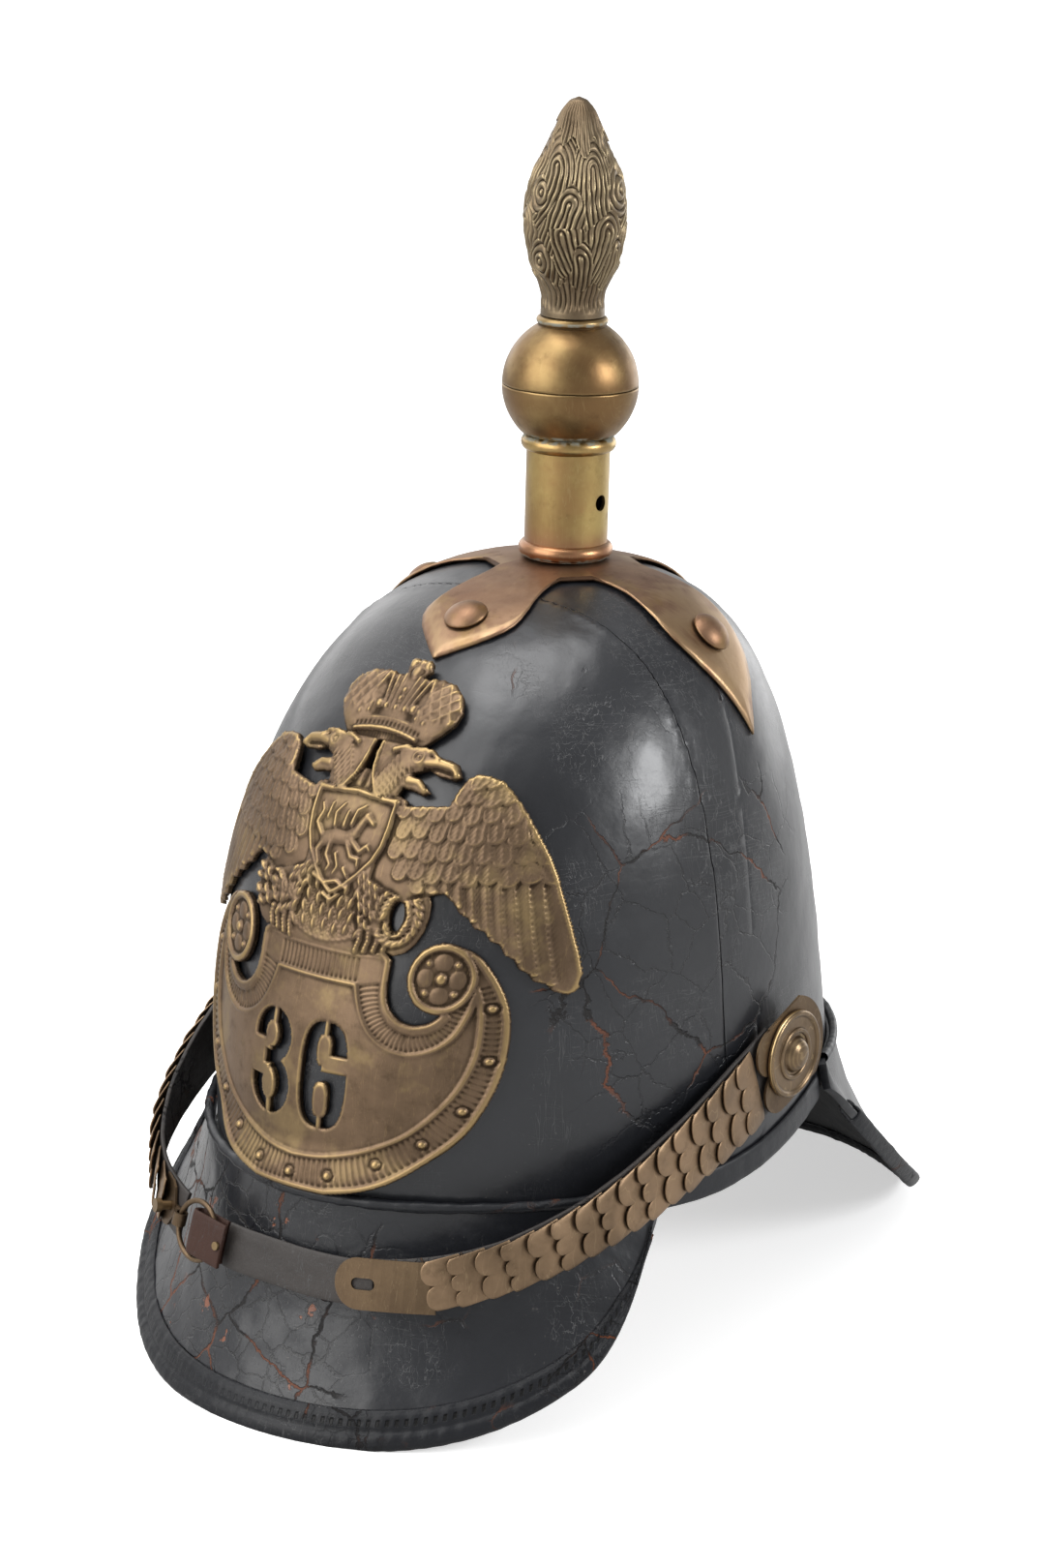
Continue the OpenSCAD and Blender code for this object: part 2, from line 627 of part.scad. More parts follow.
// Finial: spigot, ball of two spun halves and flame on one rod. It lifts out of the tube.
rod_r = 3;
seat_z = foot_z + tube_h + seat_gap;
ball_z = seat_z + sqrt(ball_r * ball_r - bead_r * bead_r);
neck_z = ball_z + sqrt(ball_r * ball_r - neck_r * neck_r);
flame_z = neck_z + neck_h;
spigot_z = seat_z - spigot_h;
module finial_spigot() {
    color(brass) placed() translate([0, 0, spigot_z]) difference() {
        cylinder(r = bore_r - running_gap, h = spigot_h, $fn = 64);
        translate([0, 0, -1]) cylinder(r = rod_r + screw_gap, h = spigot_h + 2);
    }
}
rod_in_flame = 8;
module finial_rod() {
    color(steel) placed() translate([0, 0, spigot_z]) {
        cylinder(r = rod_r, h = flame_z + rod_in_flame - spigot_z);
    }
}
module ball_shell(low, high) {
    intersection() {
        difference() {
            sphere(ball_r, $fn = 96);
            sphere(ball_r - ball_wall, $fn = 96);
        }
        translate([-50, -50, low]) cube([100, 100, high - low]);
    }
}
module ball_lower_half() {
    drop = ball_z - seat_z;
    color(brass) placed() translate([0, 0, ball_z]) difference() {
        union() {
            ball_shell(-drop, -0.03);
            translate([0, 0, -drop]) cylinder(r = bead_r - 0.4, h = ball_wall);
        }
        translate([0, 0, -drop - 1]) cylinder(r = rod_r + screw_gap, h = 8);
    }
}
module ball_upper_half() {
    rise = neck_z - ball_z;
    color(brass) placed() translate([0, 0, ball_z]) difference() {
        union() {
            ball_shell(0.03, rise);
            translate([0, 0, rise - ball_wall]) cylinder(r = neck_r - 0.3, h = ball_wall + neck_h);
            translate([0, 0, rise]) cylinder(r = neck_r + 0.6, h = neck_h);
        }
        translate([0, 0, rise - 4]) cylinder(r = rod_r + screw_gap, h = neck_h + 8);
    }
}
flame_profile = [[0, 10.2], [2, 9.9], [6.5, 9.5], [9.8, 10.7], [15, 13], [20, 14.2], [25.6, 15.2], [33, 15.3],
    [41.4, 14.1], [51.9, 9.5], [62, 5.2], [65.4, 2.6], [66.4, 0.6]];
function flame_point(k, v) = let (
    h = 66.4 * (1 - pow(1 - v, 1.3)),
    flute = 0.55 * ease(h / 15) * ease((66.4 - h) / 12),
    r = lookup(h, flame_profile) * flame_r / 15.3 + flute * cos(flame_flutes * (360 * k + 1.6 * h)))
    [r * cos(360 * k), r * sin(360 * k), h * flame_h / 66.4];
module flame() {
    cols = 6 * flame_flutes;
    rows = 13;
    core = [for (j = [0 : rows]) for (i = [0 : cols - 1]) flame_point(i / cols, j / rows)];
    n = len(core);
    at = function(i, j) j * cols + i % cols;
    skin = [for (j = [0 : rows - 1]) for (i = [0 : cols - 1]) each [
        [at(i, j), at(i, j + 1), at(i + 1, j + 1)], [at(i, j), at(i + 1, j + 1), at(i + 1, j)]]];
    caps = [for (i = [0 : cols - 1]) each [[n, at(i, 0), at(i + 1, 0)], [n + 1, at(i + 1, rows), at(i, rows)]]];
    color(brass) placed() translate([0, 0, flame_z]) difference() {
        polyhedron(concat(core, [[0, 0, 0], [0, 0, flame_h + 0.3]]), concat(skin, caps));
        translate([0, 0, -1]) cylinder(r = rod_r + screw_gap, h = rod_in_flame + 1.3);
    }
}

// Chin strap: a loop about the pivots, by distance s along it from the middle of the front.
pivot_half_w = skull_half_w - 0.5;
strap_reach = (front_visor_reach - strap_behind_lip - pivot_ahead) / cos(strap_slope);
loop_power = 2.7;
function loop_point(a) = let (p = strap_reach * pow(cos(a), 2 / loop_power)) [
    pivot_half_w * pow(sin(a), 2 / loop_power),
    -pivot_ahead - p * cos(strap_slope),
    pivot_z - p * sin(strap_slope)];
loop_steps = 60;
loop_points = [for (i = [0 : loop_steps]) loop_point(90 * i / loop_steps)];
loop_run = [for (i = 0, s = 0; i <= loop_steps;
    s = s + (i < loop_steps ? norm(loop_points[i + 1] - loop_points[i]) : 0), i = i + 1) s];
loop_x = [for (i = [0 : loop_steps]) [loop_run[i], loop_points[i].x]];
loop_y = [for (i = [0 : loop_steps]) [loop_run[i], loop_points[i].y]];
loop_z = [for (i = [0 : loop_steps]) [loop_run[i], loop_points[i].z]];
loop_l = loop_run[loop_steps];
function along(s) = let (q = abs(s)) [sign(s) * lookup(q, loop_x), lookup(q, loop_y), lookup(q, loop_z)];
// Frame of the strap: T along it, w up across it, N out of it. It leans back with the visor at the front.
function strap_t_dir(s) = unit(along(min(s + 2, loop_l)) - along(s - 2));
function strap_lean(s) = 14 * (1 - ease(abs(s) / 120));
function strap_w_dir(s) = let (t = strap_t_dir(s), h = unit([t.y, -t.x, 0]))
    unit(cross(h + [0, 0, tan(strap_lean(s))], t));
function strap_n_dir(s) = cross(strap_t_dir(s), strap_w_dir(s));
module on_strap(s) {
    t = strap_t_dir(s);
    w = strap_w_dir(s);
    n = strap_n_dir(s);
    p = along(s);
    multmatrix([[t.x, w.x, n.x, p.x], [t.y, w.y, n.y, p.y], [t.z, w.z, n.z, p.z], [0, 0, 0, 1]]) children();
}
function strap_face(s, h, q) = along(s) + q * strap_w_dir(s) + h * strap_n_dir(s);
module strap_sheet(from, to, h, t, steps, w) {
    sheet(function(u, v) let (s = mix(from, to, u)) strap_face(s, h + t, (v - 0.5) * w(s)), steps, 1, t);
}
module pivot(side) {
    translate([side * pivot_half_w, -pivot_ahead, pivot_z]) rotate([0, side * 90, 0]) children();
}
// Turns the leaf plate's length along the strap, at the pivot of the given side.
module leaf_frame(side) {
    mirror([side < 0 ? 1 : 0, 0, 0]) on_strap(loop_l) children();
}
function scales_w(s) = lookup(s, [[first_scale - 20, end_plate_w], [75, end_plate_w], [106, 18], [138, 22.5],
    [170, 26.5], [loop_l, 28]]);
backing_from = 35;
backing_top = strap_t;
last_scale = first_scale + (scale_count - 1) * scale_pitch;
leaf_h = strap_t + scale_t + 0.5;
disc_t = leaf_h - 0.3;
module scale_backing(side) {
    mirror([side < 0 ? 1 : 0, 0, 0]) difference() {
        union() {
            strap_sheet(side > 0 ? backing_from : first_scale - 8, loop_l - 6, 0, strap_t, 16,
                function(s) scales_w(s) - 0.4);
            on_strap(loop_l) translate([0, 0, 0.1]) cylinder(r = rosette_r, h = disc_t);
        }
        on_strap(loop_l) cylinder(r = post_r + running_gap, h = 20, center = true);
    }
}
module left_scale_backing() {
    color(worn_leather) placed() scale_backing(1);
}
module right_scale_backing() {
    color(worn_leather) placed() scale_backing(-1);
}
// One scale, its lobed edge at X = 0 pointing to -X.
module scale_plate(lobes, w, l) {
    r = w / lobes * 0.53;
    linear_extrude(scale_t) {
        for (i = [0 : lobes - 1]) {
            translate([r, (i - (lobes - 1) / 2) * w / lobes * 0.97]) circle(r, $fn = 40);
        }
        translate([r, -w / 2]) square([l - r, w]);
    }
}
scale_rise = (scale_t + 0.42) / scale_pitch;
module scales(side) {
    mirror([side < 0 ? 1 : 0, 0, 0]) for (k = [0 : scale_count - 1]) {
        s = first_scale + k * scale_pitch;
        l = min(scale_pitch + scale_lap, loop_l - leaf_front - seat_gap - s);
        on_strap(s + l) translate([0, 0, backing_top + 0.25]) rotate([0, atan(scale_rise), 0]) {
            translate([-l, 0, 0]) scale_plate(2 + k % 2, scales_w(s + 4), l);
        }
    }
}
module left_scales() {
    color(tan_brass) placed() scales(1);
}
module right_scales() {
    color(tan_brass) placed() scales(-1);
}
leaf_front = 17;
module leaf_plate(side) {
    leaf_frame(side) translate([0, 0, leaf_h]) difference() {
        linear_extrude(brass_t - 0.2) {
            intersection() {
                circle(leaf_front + 1, $fn = 64);
                translate([-8, -15]) square([30, 30]);
            }
            for (i = [-1, 1]) {
                translate([-leaf_front + 7.6, 7.2 * i]) circle(7.6, $fn = 40);
            }
            translate([-leaf_front + 7.6, -14.6]) square([12, 29.2]);
        }
        translate([0, 0, -1]) cylinder(r = post_r + running_gap, h = 5);
    }
}
module left_leaf_plate() {
    color(tan_brass) placed() leaf_plate(1);
}
module right_leaf_plate() {
    color(tan_brass) placed() leaf_plate(-1);
}
rosette_seat = leaf_h + brass_t - 0.2 + 0.3;
rosette_plate_t = 0.9;
inner_ring_r = 7.5;
dome_r = 5.6;
module rosette(side) {
    inside = pivot_half_w - side_x(-pivot_ahead, pivot_z) + leather_t;
    leaf_frame(side) {
        translate([0, 0, rosette_seat]) {
            cylinder(r = rosette_r, h = rosette_plate_t, $fn = 64);
            for (r = [rosette_r - 0.9, inner_ring_r]) {
                translate([0, 0, rosette_plate_t]) rotate_extrude($fn = 64) translate([r, 0]) circle(0.9, $fn = 24);
            }
            translate([0, 0, rosette_plate_t]) intersection() {
                translate([0, 0, -2.6]) sphere(dome_r + 0.6, $fn = 64);
                cylinder(r = dome_r, h = 10);
            }
        }
        translate([0, 0, -inside - 5]) cylinder(r = post_r, h = inside + 5 + rosette_seat + 0.1);
    }
}
module left_rosette() {
    color(brass) placed() rosette(1);
}
module right_rosette() {
    color(brass) placed() rosette(-1);
}
module rosette_nuts() {
    inside = pivot_half_w - side_x(-pivot_ahead, pivot_z) + leather_t;
    color(steel) placed() for (side = [-1, 1]) {
        leaf_frame(side) translate([0, 0, -inside - 4]) hex_nut(5, 3, post_r + screw_gap);
    }
}

// Front of the strap: end plates, plain leather strap with a folded loop, and the ring.
left_end_s = 22.4;
right_end_s = 45;
left_slot_s = 31.7;
ring_s = 31.5;
plate_h = strap_t + 0.15;
module left_end_plate() {
    color(tan_brass) placed() difference() {
        intersection() {
            strap_sheet(left_end_s - 2, first_scale + 8, plate_h, brass_t - 0.3, 10, function(s) end_plate_w + 4);
            on_strap(left_slot_s) linear_extrude(20, center = true) {
                r = end_plate_w / 2;
                translate([left_end_s - left_slot_s + r, 0]) circle(r, $fn = 48);
                translate([left_end_s - left_slot_s + r, -r]) square([first_scale + 4 - left_end_s - r, 2 * r]);
            }
        }
        on_strap(left_slot_s) linear_extrude(20, center = true) {
            for (i = [-1, 1]) translate([i * (slot_l - slot_w) / 2, 0]) circle(slot_w / 2, $fn = 32);
            square([slot_l - slot_w, slot_w], center = true);
        }
    }
}
eye_s = ring_s + ring_r - 0.3;
eye_h = 2.4 + ring_wire_r;
eye_wall = 0.8;
eye_r = ring_wire_r + 0.55;
eye_l = 4;
stud_s = right_end_s + 3.4;
stud_r = 1.5;
module right_end_plate() {
    color(tan_brass) placed() mirror([1, 0, 0]) {
        difference() {
            on_strap(eye_s) {
                translate([0, eye_l / 2, eye_h]) rotate([90, 0, 0]) cylinder(r = eye_r + eye_wall, h = eye_l);
                translate([eye_r + 0.2, -eye_l / 2, plate_h]) cube([4.5, eye_l, eye_wall]);
            }
            on_strap(eye_s) translate([0, eye_l, eye_h]) rotate([90, 0, 0]) cylinder(r = eye_r, h = 2 * eye_l);
        }
        on_strap(stud_s + 4) translate([0, 0, plate_h]) difference() {
            linear_extrude(brass_t - 0.3) polygon([[-7.5, -eye_l / 2], [-4.6, -end_plate_w / 2 + 1],
                [-2, -end_plate_w / 2], [3, -end_plate_w / 2], [3, end_plate_w / 2], [-2, end_plate_w / 2],
                [-4.6, end_plate_w / 2 - 1], [-7.5, eye_l / 2]]);
            translate([-4, 0, -1]) cylinder(r = stud_r + screw_gap, h = 4);
        }
    }
}
module end_plate_stud() {
    color(brass) placed() mirror([1, 0, 0]) on_strap(stud_s + 4) translate([-4, 0, 0]) {
        translate([0, 0, plate_h]) cylinder(r = stud_r, h = 5.4);
        translate([0, 0, plate_h + brass_t + 3]) cylinder(r = stud_r + 0.7, h = 1.8);
    }
}
loop_from = -ring_s + 0.5;
loop_to = -ring_s + ring_r + ring_wire_r + 1;
loop_gap = 2 * ring_wire_r + 1;
module leather_strap() {
    mid_s = (loop_from + loop_to) / 2;
    half = (loop_to - loop_from) / 2;
    outer = strap_t * 2 + loop_gap;
    color(worn_leather) placed() {
        strap_sheet(loop_to, backing_from - 0.5, 0, strap_t, 10, function(s) strap_w);
        on_strap(mid_s) rotate([90, 0, 0]) linear_extrude(strap_w, center = true) difference() {
            union() {
                translate([-half, outer / 2]) circle(outer / 2, $fn = 40);
                translate([-half, 0]) square([2 * half + 3.5, outer]);
            }
            translate([-half, outer / 2]) circle(loop_gap / 2, $fn = 40);
            translate([-half, strap_t]) square([2 * half, loop_gap]);
        }
    }
}
module strap_rivet() {
    over = 2 * strap_t + loop_gap;
    pin_at = [(loop_to - loop_from) / 2 + 1.6, 0, over + 0.15];
    color(brass) placed() on_strap((loop_from + loop_to) / 2) translate(pin_at) {
        cylinder(r = 1.3, h = 0.7, $fn = 24);
    }
}
module strap_ring() {
    color(tan_brass) placed() on_strap(-ring_s) translate([0, 0, strap_t + loop_gap / 2]) {
        rotate_extrude($fn = 64) translate([ring_r, 0]) circle(ring_wire_r, $fn = 24);
    }
}

// Liner: sweatband, tongues sewn inside it and gathered by a lace.
liner_inset = leather_t + seat_gap + 0.35;
function liner_point(a, z, inset) = skull_point(a, level(z), -inset);
sweatband_low = rim_z + 5;
module sweatband() {
    s = function(k, v) let (
        a = 360 * k,
        low = rim(skull_point(a, 0).y) + rim_binding_w + 2)
        liner_point(a, mix(low, sweatband_low + sweatband_h, v), liner_inset);
    color(worn_leather) placed() difference() {
        sheet(s, 40, 2, liner_t, true);
        nut_reliefs();
    }
}
// Holes in the liner round the nuts of the rosettes and of the lower plate screws.
module nut_reliefs() {
    for (side = [-1, 1]) {
        pivot(side) cylinder(r = 6.5, h = 50, center = true, $fn = 24);
        q = plate_screws_at[0];
        p = plate_back(side * q.x, q.y);
        facing(p, skin_normal(p)) cylinder(r = 4.5, h = 30, center = true, $fn = 16);
    }
}
tongue_z = rim_z + 30;
tongue_top_z = crown_z - 33;
function tongue_point(k, u, v) = let (
    half = (180 / tongue_count - 2) * (1 - 0.45 * v),
    a = 360 * k / tongue_count + mix(-half, half, u),
    z = mix(tongue_z, tongue_top_z, v),
    p = liner_point(a, z, liner_inset + liner_t + seat_gap),
    g = pow(v, 2.4),
    q = [gather_r * 1.07 * cos(a), gather_r * 1.07 * sin(a), z]) mix(p, q, g);
module liner_tongues() {
    color(worn_leather) placed() difference() {
        for (k = [0 : tongue_count - 1]) {
            sheet(function(u, v) tongue_point(k, u, v), 3, 7, liner_t);
        }
        nut_reliefs();
    }
}
module liner_lace() {
    color(worn_leather) placed() translate([0, 0, tongue_top_z]) rotate_extrude($fn = 48) {
        translate([gather_r * 1.07 - liner_t - seat_gap - 0.9, 0]) circle(0.9, $fn = 16);
    }
}

skull_front();
skull_rear();
front_visor();
front_visor_binding();
rear_visor();
rear_visor_binding();
rim_binding();
front_plate();
plate_screws();
plate_nuts();
petal_base();
petal_rivets();
petal_nuts();
socket_tube();
socket_bolt();
socket_washer();
socket_nut();
finial_spigot();
finial_rod();
ball_lower_half();
ball_upper_half();
flame();
left_rosette();
right_rosette();
rosette_nuts();
left_leaf_plate();
right_leaf_plate();
left_scales();
right_scales();
left_scale_backing();
right_scale_backing();
left_end_plate();
right_end_plate();
end_plate_stud();
leather_strap();
strap_rivet();
strap_ring();
sweatband();
liner_tongues();
liner_lace();
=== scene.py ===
"""Looks of the spiked leather helmet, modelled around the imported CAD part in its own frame.

Lengths inside the surface functions are millimetres in the builder's frame, with the finial's axis
at x = y = 0 and the front towards -y. to_row() turns them into the row's metres. An angle a runs
from +x round the finial's axis; u and v run from 0 to 1 over a surface.
"""

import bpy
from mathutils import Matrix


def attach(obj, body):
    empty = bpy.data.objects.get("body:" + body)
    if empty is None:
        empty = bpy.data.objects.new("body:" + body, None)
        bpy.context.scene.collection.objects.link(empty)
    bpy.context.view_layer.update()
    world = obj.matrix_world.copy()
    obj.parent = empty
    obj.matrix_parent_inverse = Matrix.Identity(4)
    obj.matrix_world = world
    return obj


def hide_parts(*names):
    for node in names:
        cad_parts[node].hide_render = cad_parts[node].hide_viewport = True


bl_info = {
    "name": "Spiked leather helmet",
    "version": (1, 0, 0),
    "blender": (4, 5, 0),
    "location": "3D Viewport > Sidebar > Helmet",
    "description": "Adds the looks of a spiked leather helmet round its CAD frame",
    "category": "Object",
}

import bmesh
import bpy
import numpy as np
from mathutils import Matrix, Vector

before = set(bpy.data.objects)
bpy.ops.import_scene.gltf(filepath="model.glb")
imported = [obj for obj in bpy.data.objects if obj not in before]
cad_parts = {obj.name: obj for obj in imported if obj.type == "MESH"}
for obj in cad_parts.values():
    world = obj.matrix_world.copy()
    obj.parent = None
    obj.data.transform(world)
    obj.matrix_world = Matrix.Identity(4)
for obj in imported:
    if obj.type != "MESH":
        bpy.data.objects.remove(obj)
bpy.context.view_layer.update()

# Sizes of the CAD part, in millimetres
MID_Y = 8.35
RIM_Z, RIM_RISE, CROWN_Z = 63.0, 13.0, 238.0
HALF_W, FRONT_REACH, REAR_REACH = 92.5, 128.0, 99.5
BASE_Z, SKULL_H = 64.0, 174.0
SEAM_Y, SEAM_GAP = -32.0, 0.28
LEATHER_T, VISOR_T, BINDING_T, STRAP_T = 3.0, 2.6, 0.9, 1.4
FLANGE_LIFT, LIP_Z, STAND_CLEAR = 2.95, 0.7, 0.02
FRONT_ROOT, REAR_ROOT = (-62.0, 68.4), (29.2, 86.0)    # y and z of each visor's end on the skull
RIM_START, RIM_END = -59.0, 25.2
TUBE_FOOT, TUBE_H, SEAT_GAP = 240.7, 38.4, 0.35
BALL_R, BALL_FOOT_R, BALL_TOP_R, NECK_H = 21.2, 14.8, 10.4, 3
BALL_FOOT = TUBE_FOOT + TUBE_H + SEAT_GAP
BALL_Z = BALL_FOOT + np.sqrt(BALL_R ** 2 - BALL_FOOT_R ** 2)
FLAME_FOOT, FLAME_H = BALL_Z + np.sqrt(BALL_R ** 2 - BALL_TOP_R ** 2) + NECK_H, 66.3
PIVOT, STRAP_REACH, STRAP_SLOPE = (92.0, -6.1, 99.9), 141.0, np.radians(22)
FIRST_SCALE, PITCH, LAP, SCALES = 49.6, 7.8, 4.6, 16
STRAP_START, STRAP_END, STRAP_W = -20.0, 34.5, 13.8
SWEATBAND_TOP, TONGUES, TONGUE_FOOT, GATHER_Z = 113.0, 8, 93.0, 205.0

TAU = 2 * np.pi
MERGE = 1e-7


# Surfaces of the CAD part, as functions of arrays

def ease(k):
    c = np.clip(k, 0, 1)
    return c * c * (3 - 2 * c)


def mix(a, b, k):
    return a + (b - a) * k


def bell(d, width):
    return np.exp(-(d / width) ** 2)


def unit(v):
    return v / np.maximum(np.linalg.norm(v, axis=-1, keepdims=True), 1e-12)


def stack(*columns):
    return np.stack(np.broadcast_arrays(*columns), axis=-1).astype(float)


def signed_power(c, p):
    return np.sign(c) * np.abs(c) ** p


def level(z):
    return (z - BASE_Z) / SKULL_H


def dome(u, p, q):
    return (1 - np.clip(u, 0, 1) ** p) ** (1 / q)


def half_w(u):
    return (HALF_W - 14.5 * u) * dome(u, 4, 3.25)


def reach_front(u):
    return (FRONT_REACH - 10.5 * u) * dome(u, 2.6, 2.3)


def reach_rear(u):
    return (REAR_REACH - 30.5 * u) * dome(u, 4, 3.25)


def middle(u):
    return (reach_rear(u) - reach_front(u)) / 2


def half_l(u):
    return (reach_rear(u) + reach_front(u)) / 2


def egg(u):
    return 1.8 + 0.54 * u


def skull_point(a, u, grow=0.0):
    p = np.where(np.sin(a) < 0, egg(u), 2)
    return stack((half_w(u) + grow) * signed_power(np.cos(a), 2 / p),
                 middle(u) + (half_l(u) + grow) * signed_power(np.sin(a), 2 / p),
                 BASE_Z + SKULL_H * u)


def across(d, span, p):
    return np.maximum(0, 1 - np.abs(d / span) ** p) ** (1 / p)


def end_y(x, z, way=1, grow=0.0):
    """The y of the skull at x and z, on its front with way 1 and on its rear with way -1."""
    u = level(z)
    power = egg(u) if way > 0 else 2
    return middle(u) - way * (half_l(u) + grow) * across(x, half_w(u) + grow, power)


def side_x(y, z, grow=0.0):
    u = level(z)
    p = np.where(y < middle(u), egg(u), 2)
    return (half_w(u) + grow) * across(y - middle(u), half_l(u) + grow, p)


def rim(y):
    return RIM_Z + RIM_RISE * ease((y + 50) / 95)


def swell(p):
    u = level(p[..., 2])
    m = middle(u)
    e = np.where(p[..., 1] < m, egg(u), 2)
    return np.abs(p[..., 0] / half_w(u)) ** e + np.abs((p[..., 1] - m) / half_l(u)) ** e


def skin_normal(p, h=0.02):
    steps = np.eye(3) * h
    n = unit(np.stack([swell(p + d) - swell(p - d) for d in steps], axis=-1))
    near = np.hypot(p[..., 0], p[..., 1]) < 12
    return np.where(near[..., None], np.array([0.0, 0.0, 1.0]), n)


def on_crown(x, y):
    low, high = np.full_like(x, 150.0), np.full_like(x, CROWN_Z - 0.001)
    for _ in range(30):
        m = (low + high) / 2
        outside = swell(stack(x, y, m)) > 1
        high = np.where(outside, m, high)
        low = np.where(outside, low, m)
    return stack(x, y, (low + high) / 2)


def to_row(points):
    """Millimetres in the builder's frame to metres in the row's frame."""
    return (np.asarray(points, float) - (0, MID_Y, 0)) * 0.001


def waves(p, size, seed, octaves=3):
    """Smooth noise from -1 to 1 at points p, with features of the given size."""
    rng = np.random.default_rng(seed)
    total, weight = np.zeros(p.shape[:-1]), 0.0
    for octave in range(octaves):
        for _ in range(5):
            k = rng.normal(size=3)
            k *= TAU / size * 2 ** octave / np.linalg.norm(k) * rng.uniform(0.6, 1.1)
            total += np.sin(p @ k + rng.uniform(0, TAU)) * 0.55 ** octave
        weight += 0.55 ** octave * 2.2
    return total / weight


# Pieces

def finish_piece(name, bm, body, material, replaces=()):
    """Makes the object of a mesh, hides the CAD nodes that it stands for and hangs it under the empty of
    its body.
    """
    mesh = bpy.data.meshes.new(name)
    bm.to_mesh(mesh)
    bm.free()
    piece = bpy.data.objects.new(name, mesh)
    bpy.context.scene.collection.objects.link(piece)
    mesh.shade_smooth()
    mesh.materials.append(bpy.data.materials[material])
    if replaces:
        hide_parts(*replaces)
    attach(piece, body)
    return piece


def grid_bmesh(surface, nu, nv, loop=False, keep=None, flip=False):
    """A grid bent onto surface(u, v). Its faces look along du x dv, or the other way with flip.

    loop joins the points that meet, and keep(u, v) says which points stay.
    """
    bm = bmesh.new()
    bmesh.ops.create_grid(bm, x_segments=nu, y_segments=nv, size=0.5)
    uv = np.array([v.co[:2] for v in bm.verts]) + 0.5
    points = to_row(surface(uv[:, 0], uv[:, 1]))
    layer = bm.loops.layers.uv.new("UVMap")
    for vert in bm.verts:
        for corner in vert.link_loops:
            corner[layer].uv = uv[vert.index]
    for vert, point in zip(bm.verts, points):
        vert.co = point
    if keep is not None:
        stays = keep(uv[:, 0], uv[:, 1])
        bmesh.ops.delete(bm, geom=[v for v, k in zip(list(bm.verts), stays) if not k], context="VERTS")
    if loop:
        bmesh.ops.remove_doubles(bm, verts=bm.verts, dist=MERGE)
    if flip:
        for face in bm.faces:
            face.normal_flip()
    return bm


def join(bm, other):
    """Adds the mesh other to bm and frees it."""
    spare = bpy.data.meshes.new("spare")
    other.to_mesh(spare)
    other.free()
    bm.from_mesh(spare)
    bpy.data.meshes.remove(spare)


def solid(piece, thickness, bevel=0.0, offset=-1):
    """Gives a sheet its thickness and rounds its edges, both in millimetres."""
    m = piece.modifiers.new("thickness", "SOLIDIFY")
    m.thickness = thickness * 0.001
    m.offset = offset
    if bevel:
        b = piece.modifiers.new("edges", "BEVEL")
        b.width = bevel * 0.001
        b.segments = 2
        b.limit_method = "ANGLE"
        b.angle_limit = 0.9
    return piece


def wear(piece, spread, gain):
    """Stores how far each point stands out of its surroundings, from -1 in a groove to 1 on a ridge."""
    mesh = piece.data
    n = len(mesh.vertices)
    co, no = np.empty(n * 3), np.empty(n * 3)
    mesh.vertices.foreach_get("co", co)
    mesh.vertices.foreach_get("normal", no)
    co, no = co.reshape(-1, 3), no.reshape(-1, 3)
    ends = np.empty(len(mesh.edges) * 2, int)
    mesh.edges.foreach_get("vertices", ends)
    a, b = ends.reshape(-1, 2).T
    count = np.bincount(np.concatenate([a, b]), minlength=n).clip(1)
    around = co.copy()
    for _ in range(spread):
        total = np.zeros_like(co)
        np.add.at(total, a, around[b])
        np.add.at(total, b, around[a])
        around = total / count[:, None]
    out = np.clip(((co - around) * no).sum(1) * 1000 * gain, -1, 1)
    mesh.attributes.new("wear", "FLOAT", "POINT").data.foreach_set("value", out.astype(np.float32))
    return piece


def path_run(path):
    """The length along a path, at each of its points."""
    return np.concatenate([[0], np.cumsum(np.linalg.norm(np.diff(path, axis=0), axis=1))])


def lathe(profile, centre, axes):
    """The surface turned from a profile of (radius, height) round centre, on axes (right, up, out)."""
    profile = np.asarray(profile, float)
    run = path_run(profile)
    right, up, out = (np.asarray(a, float) for a in axes)

    def surface(u, v):
        r = np.interp(v * run[-1], run, profile[:, 0])[:, None]
        h = np.interp(v * run[-1], run, profile[:, 1])[:, None]
        c, s = np.cos(u * TAU)[:, None], np.sin(u * TAU)[:, None]
        return np.asarray(centre, float) + r * (c * right + s * up) + h * out
    return surface


# Materials: arithmetic on Value adds the nodes

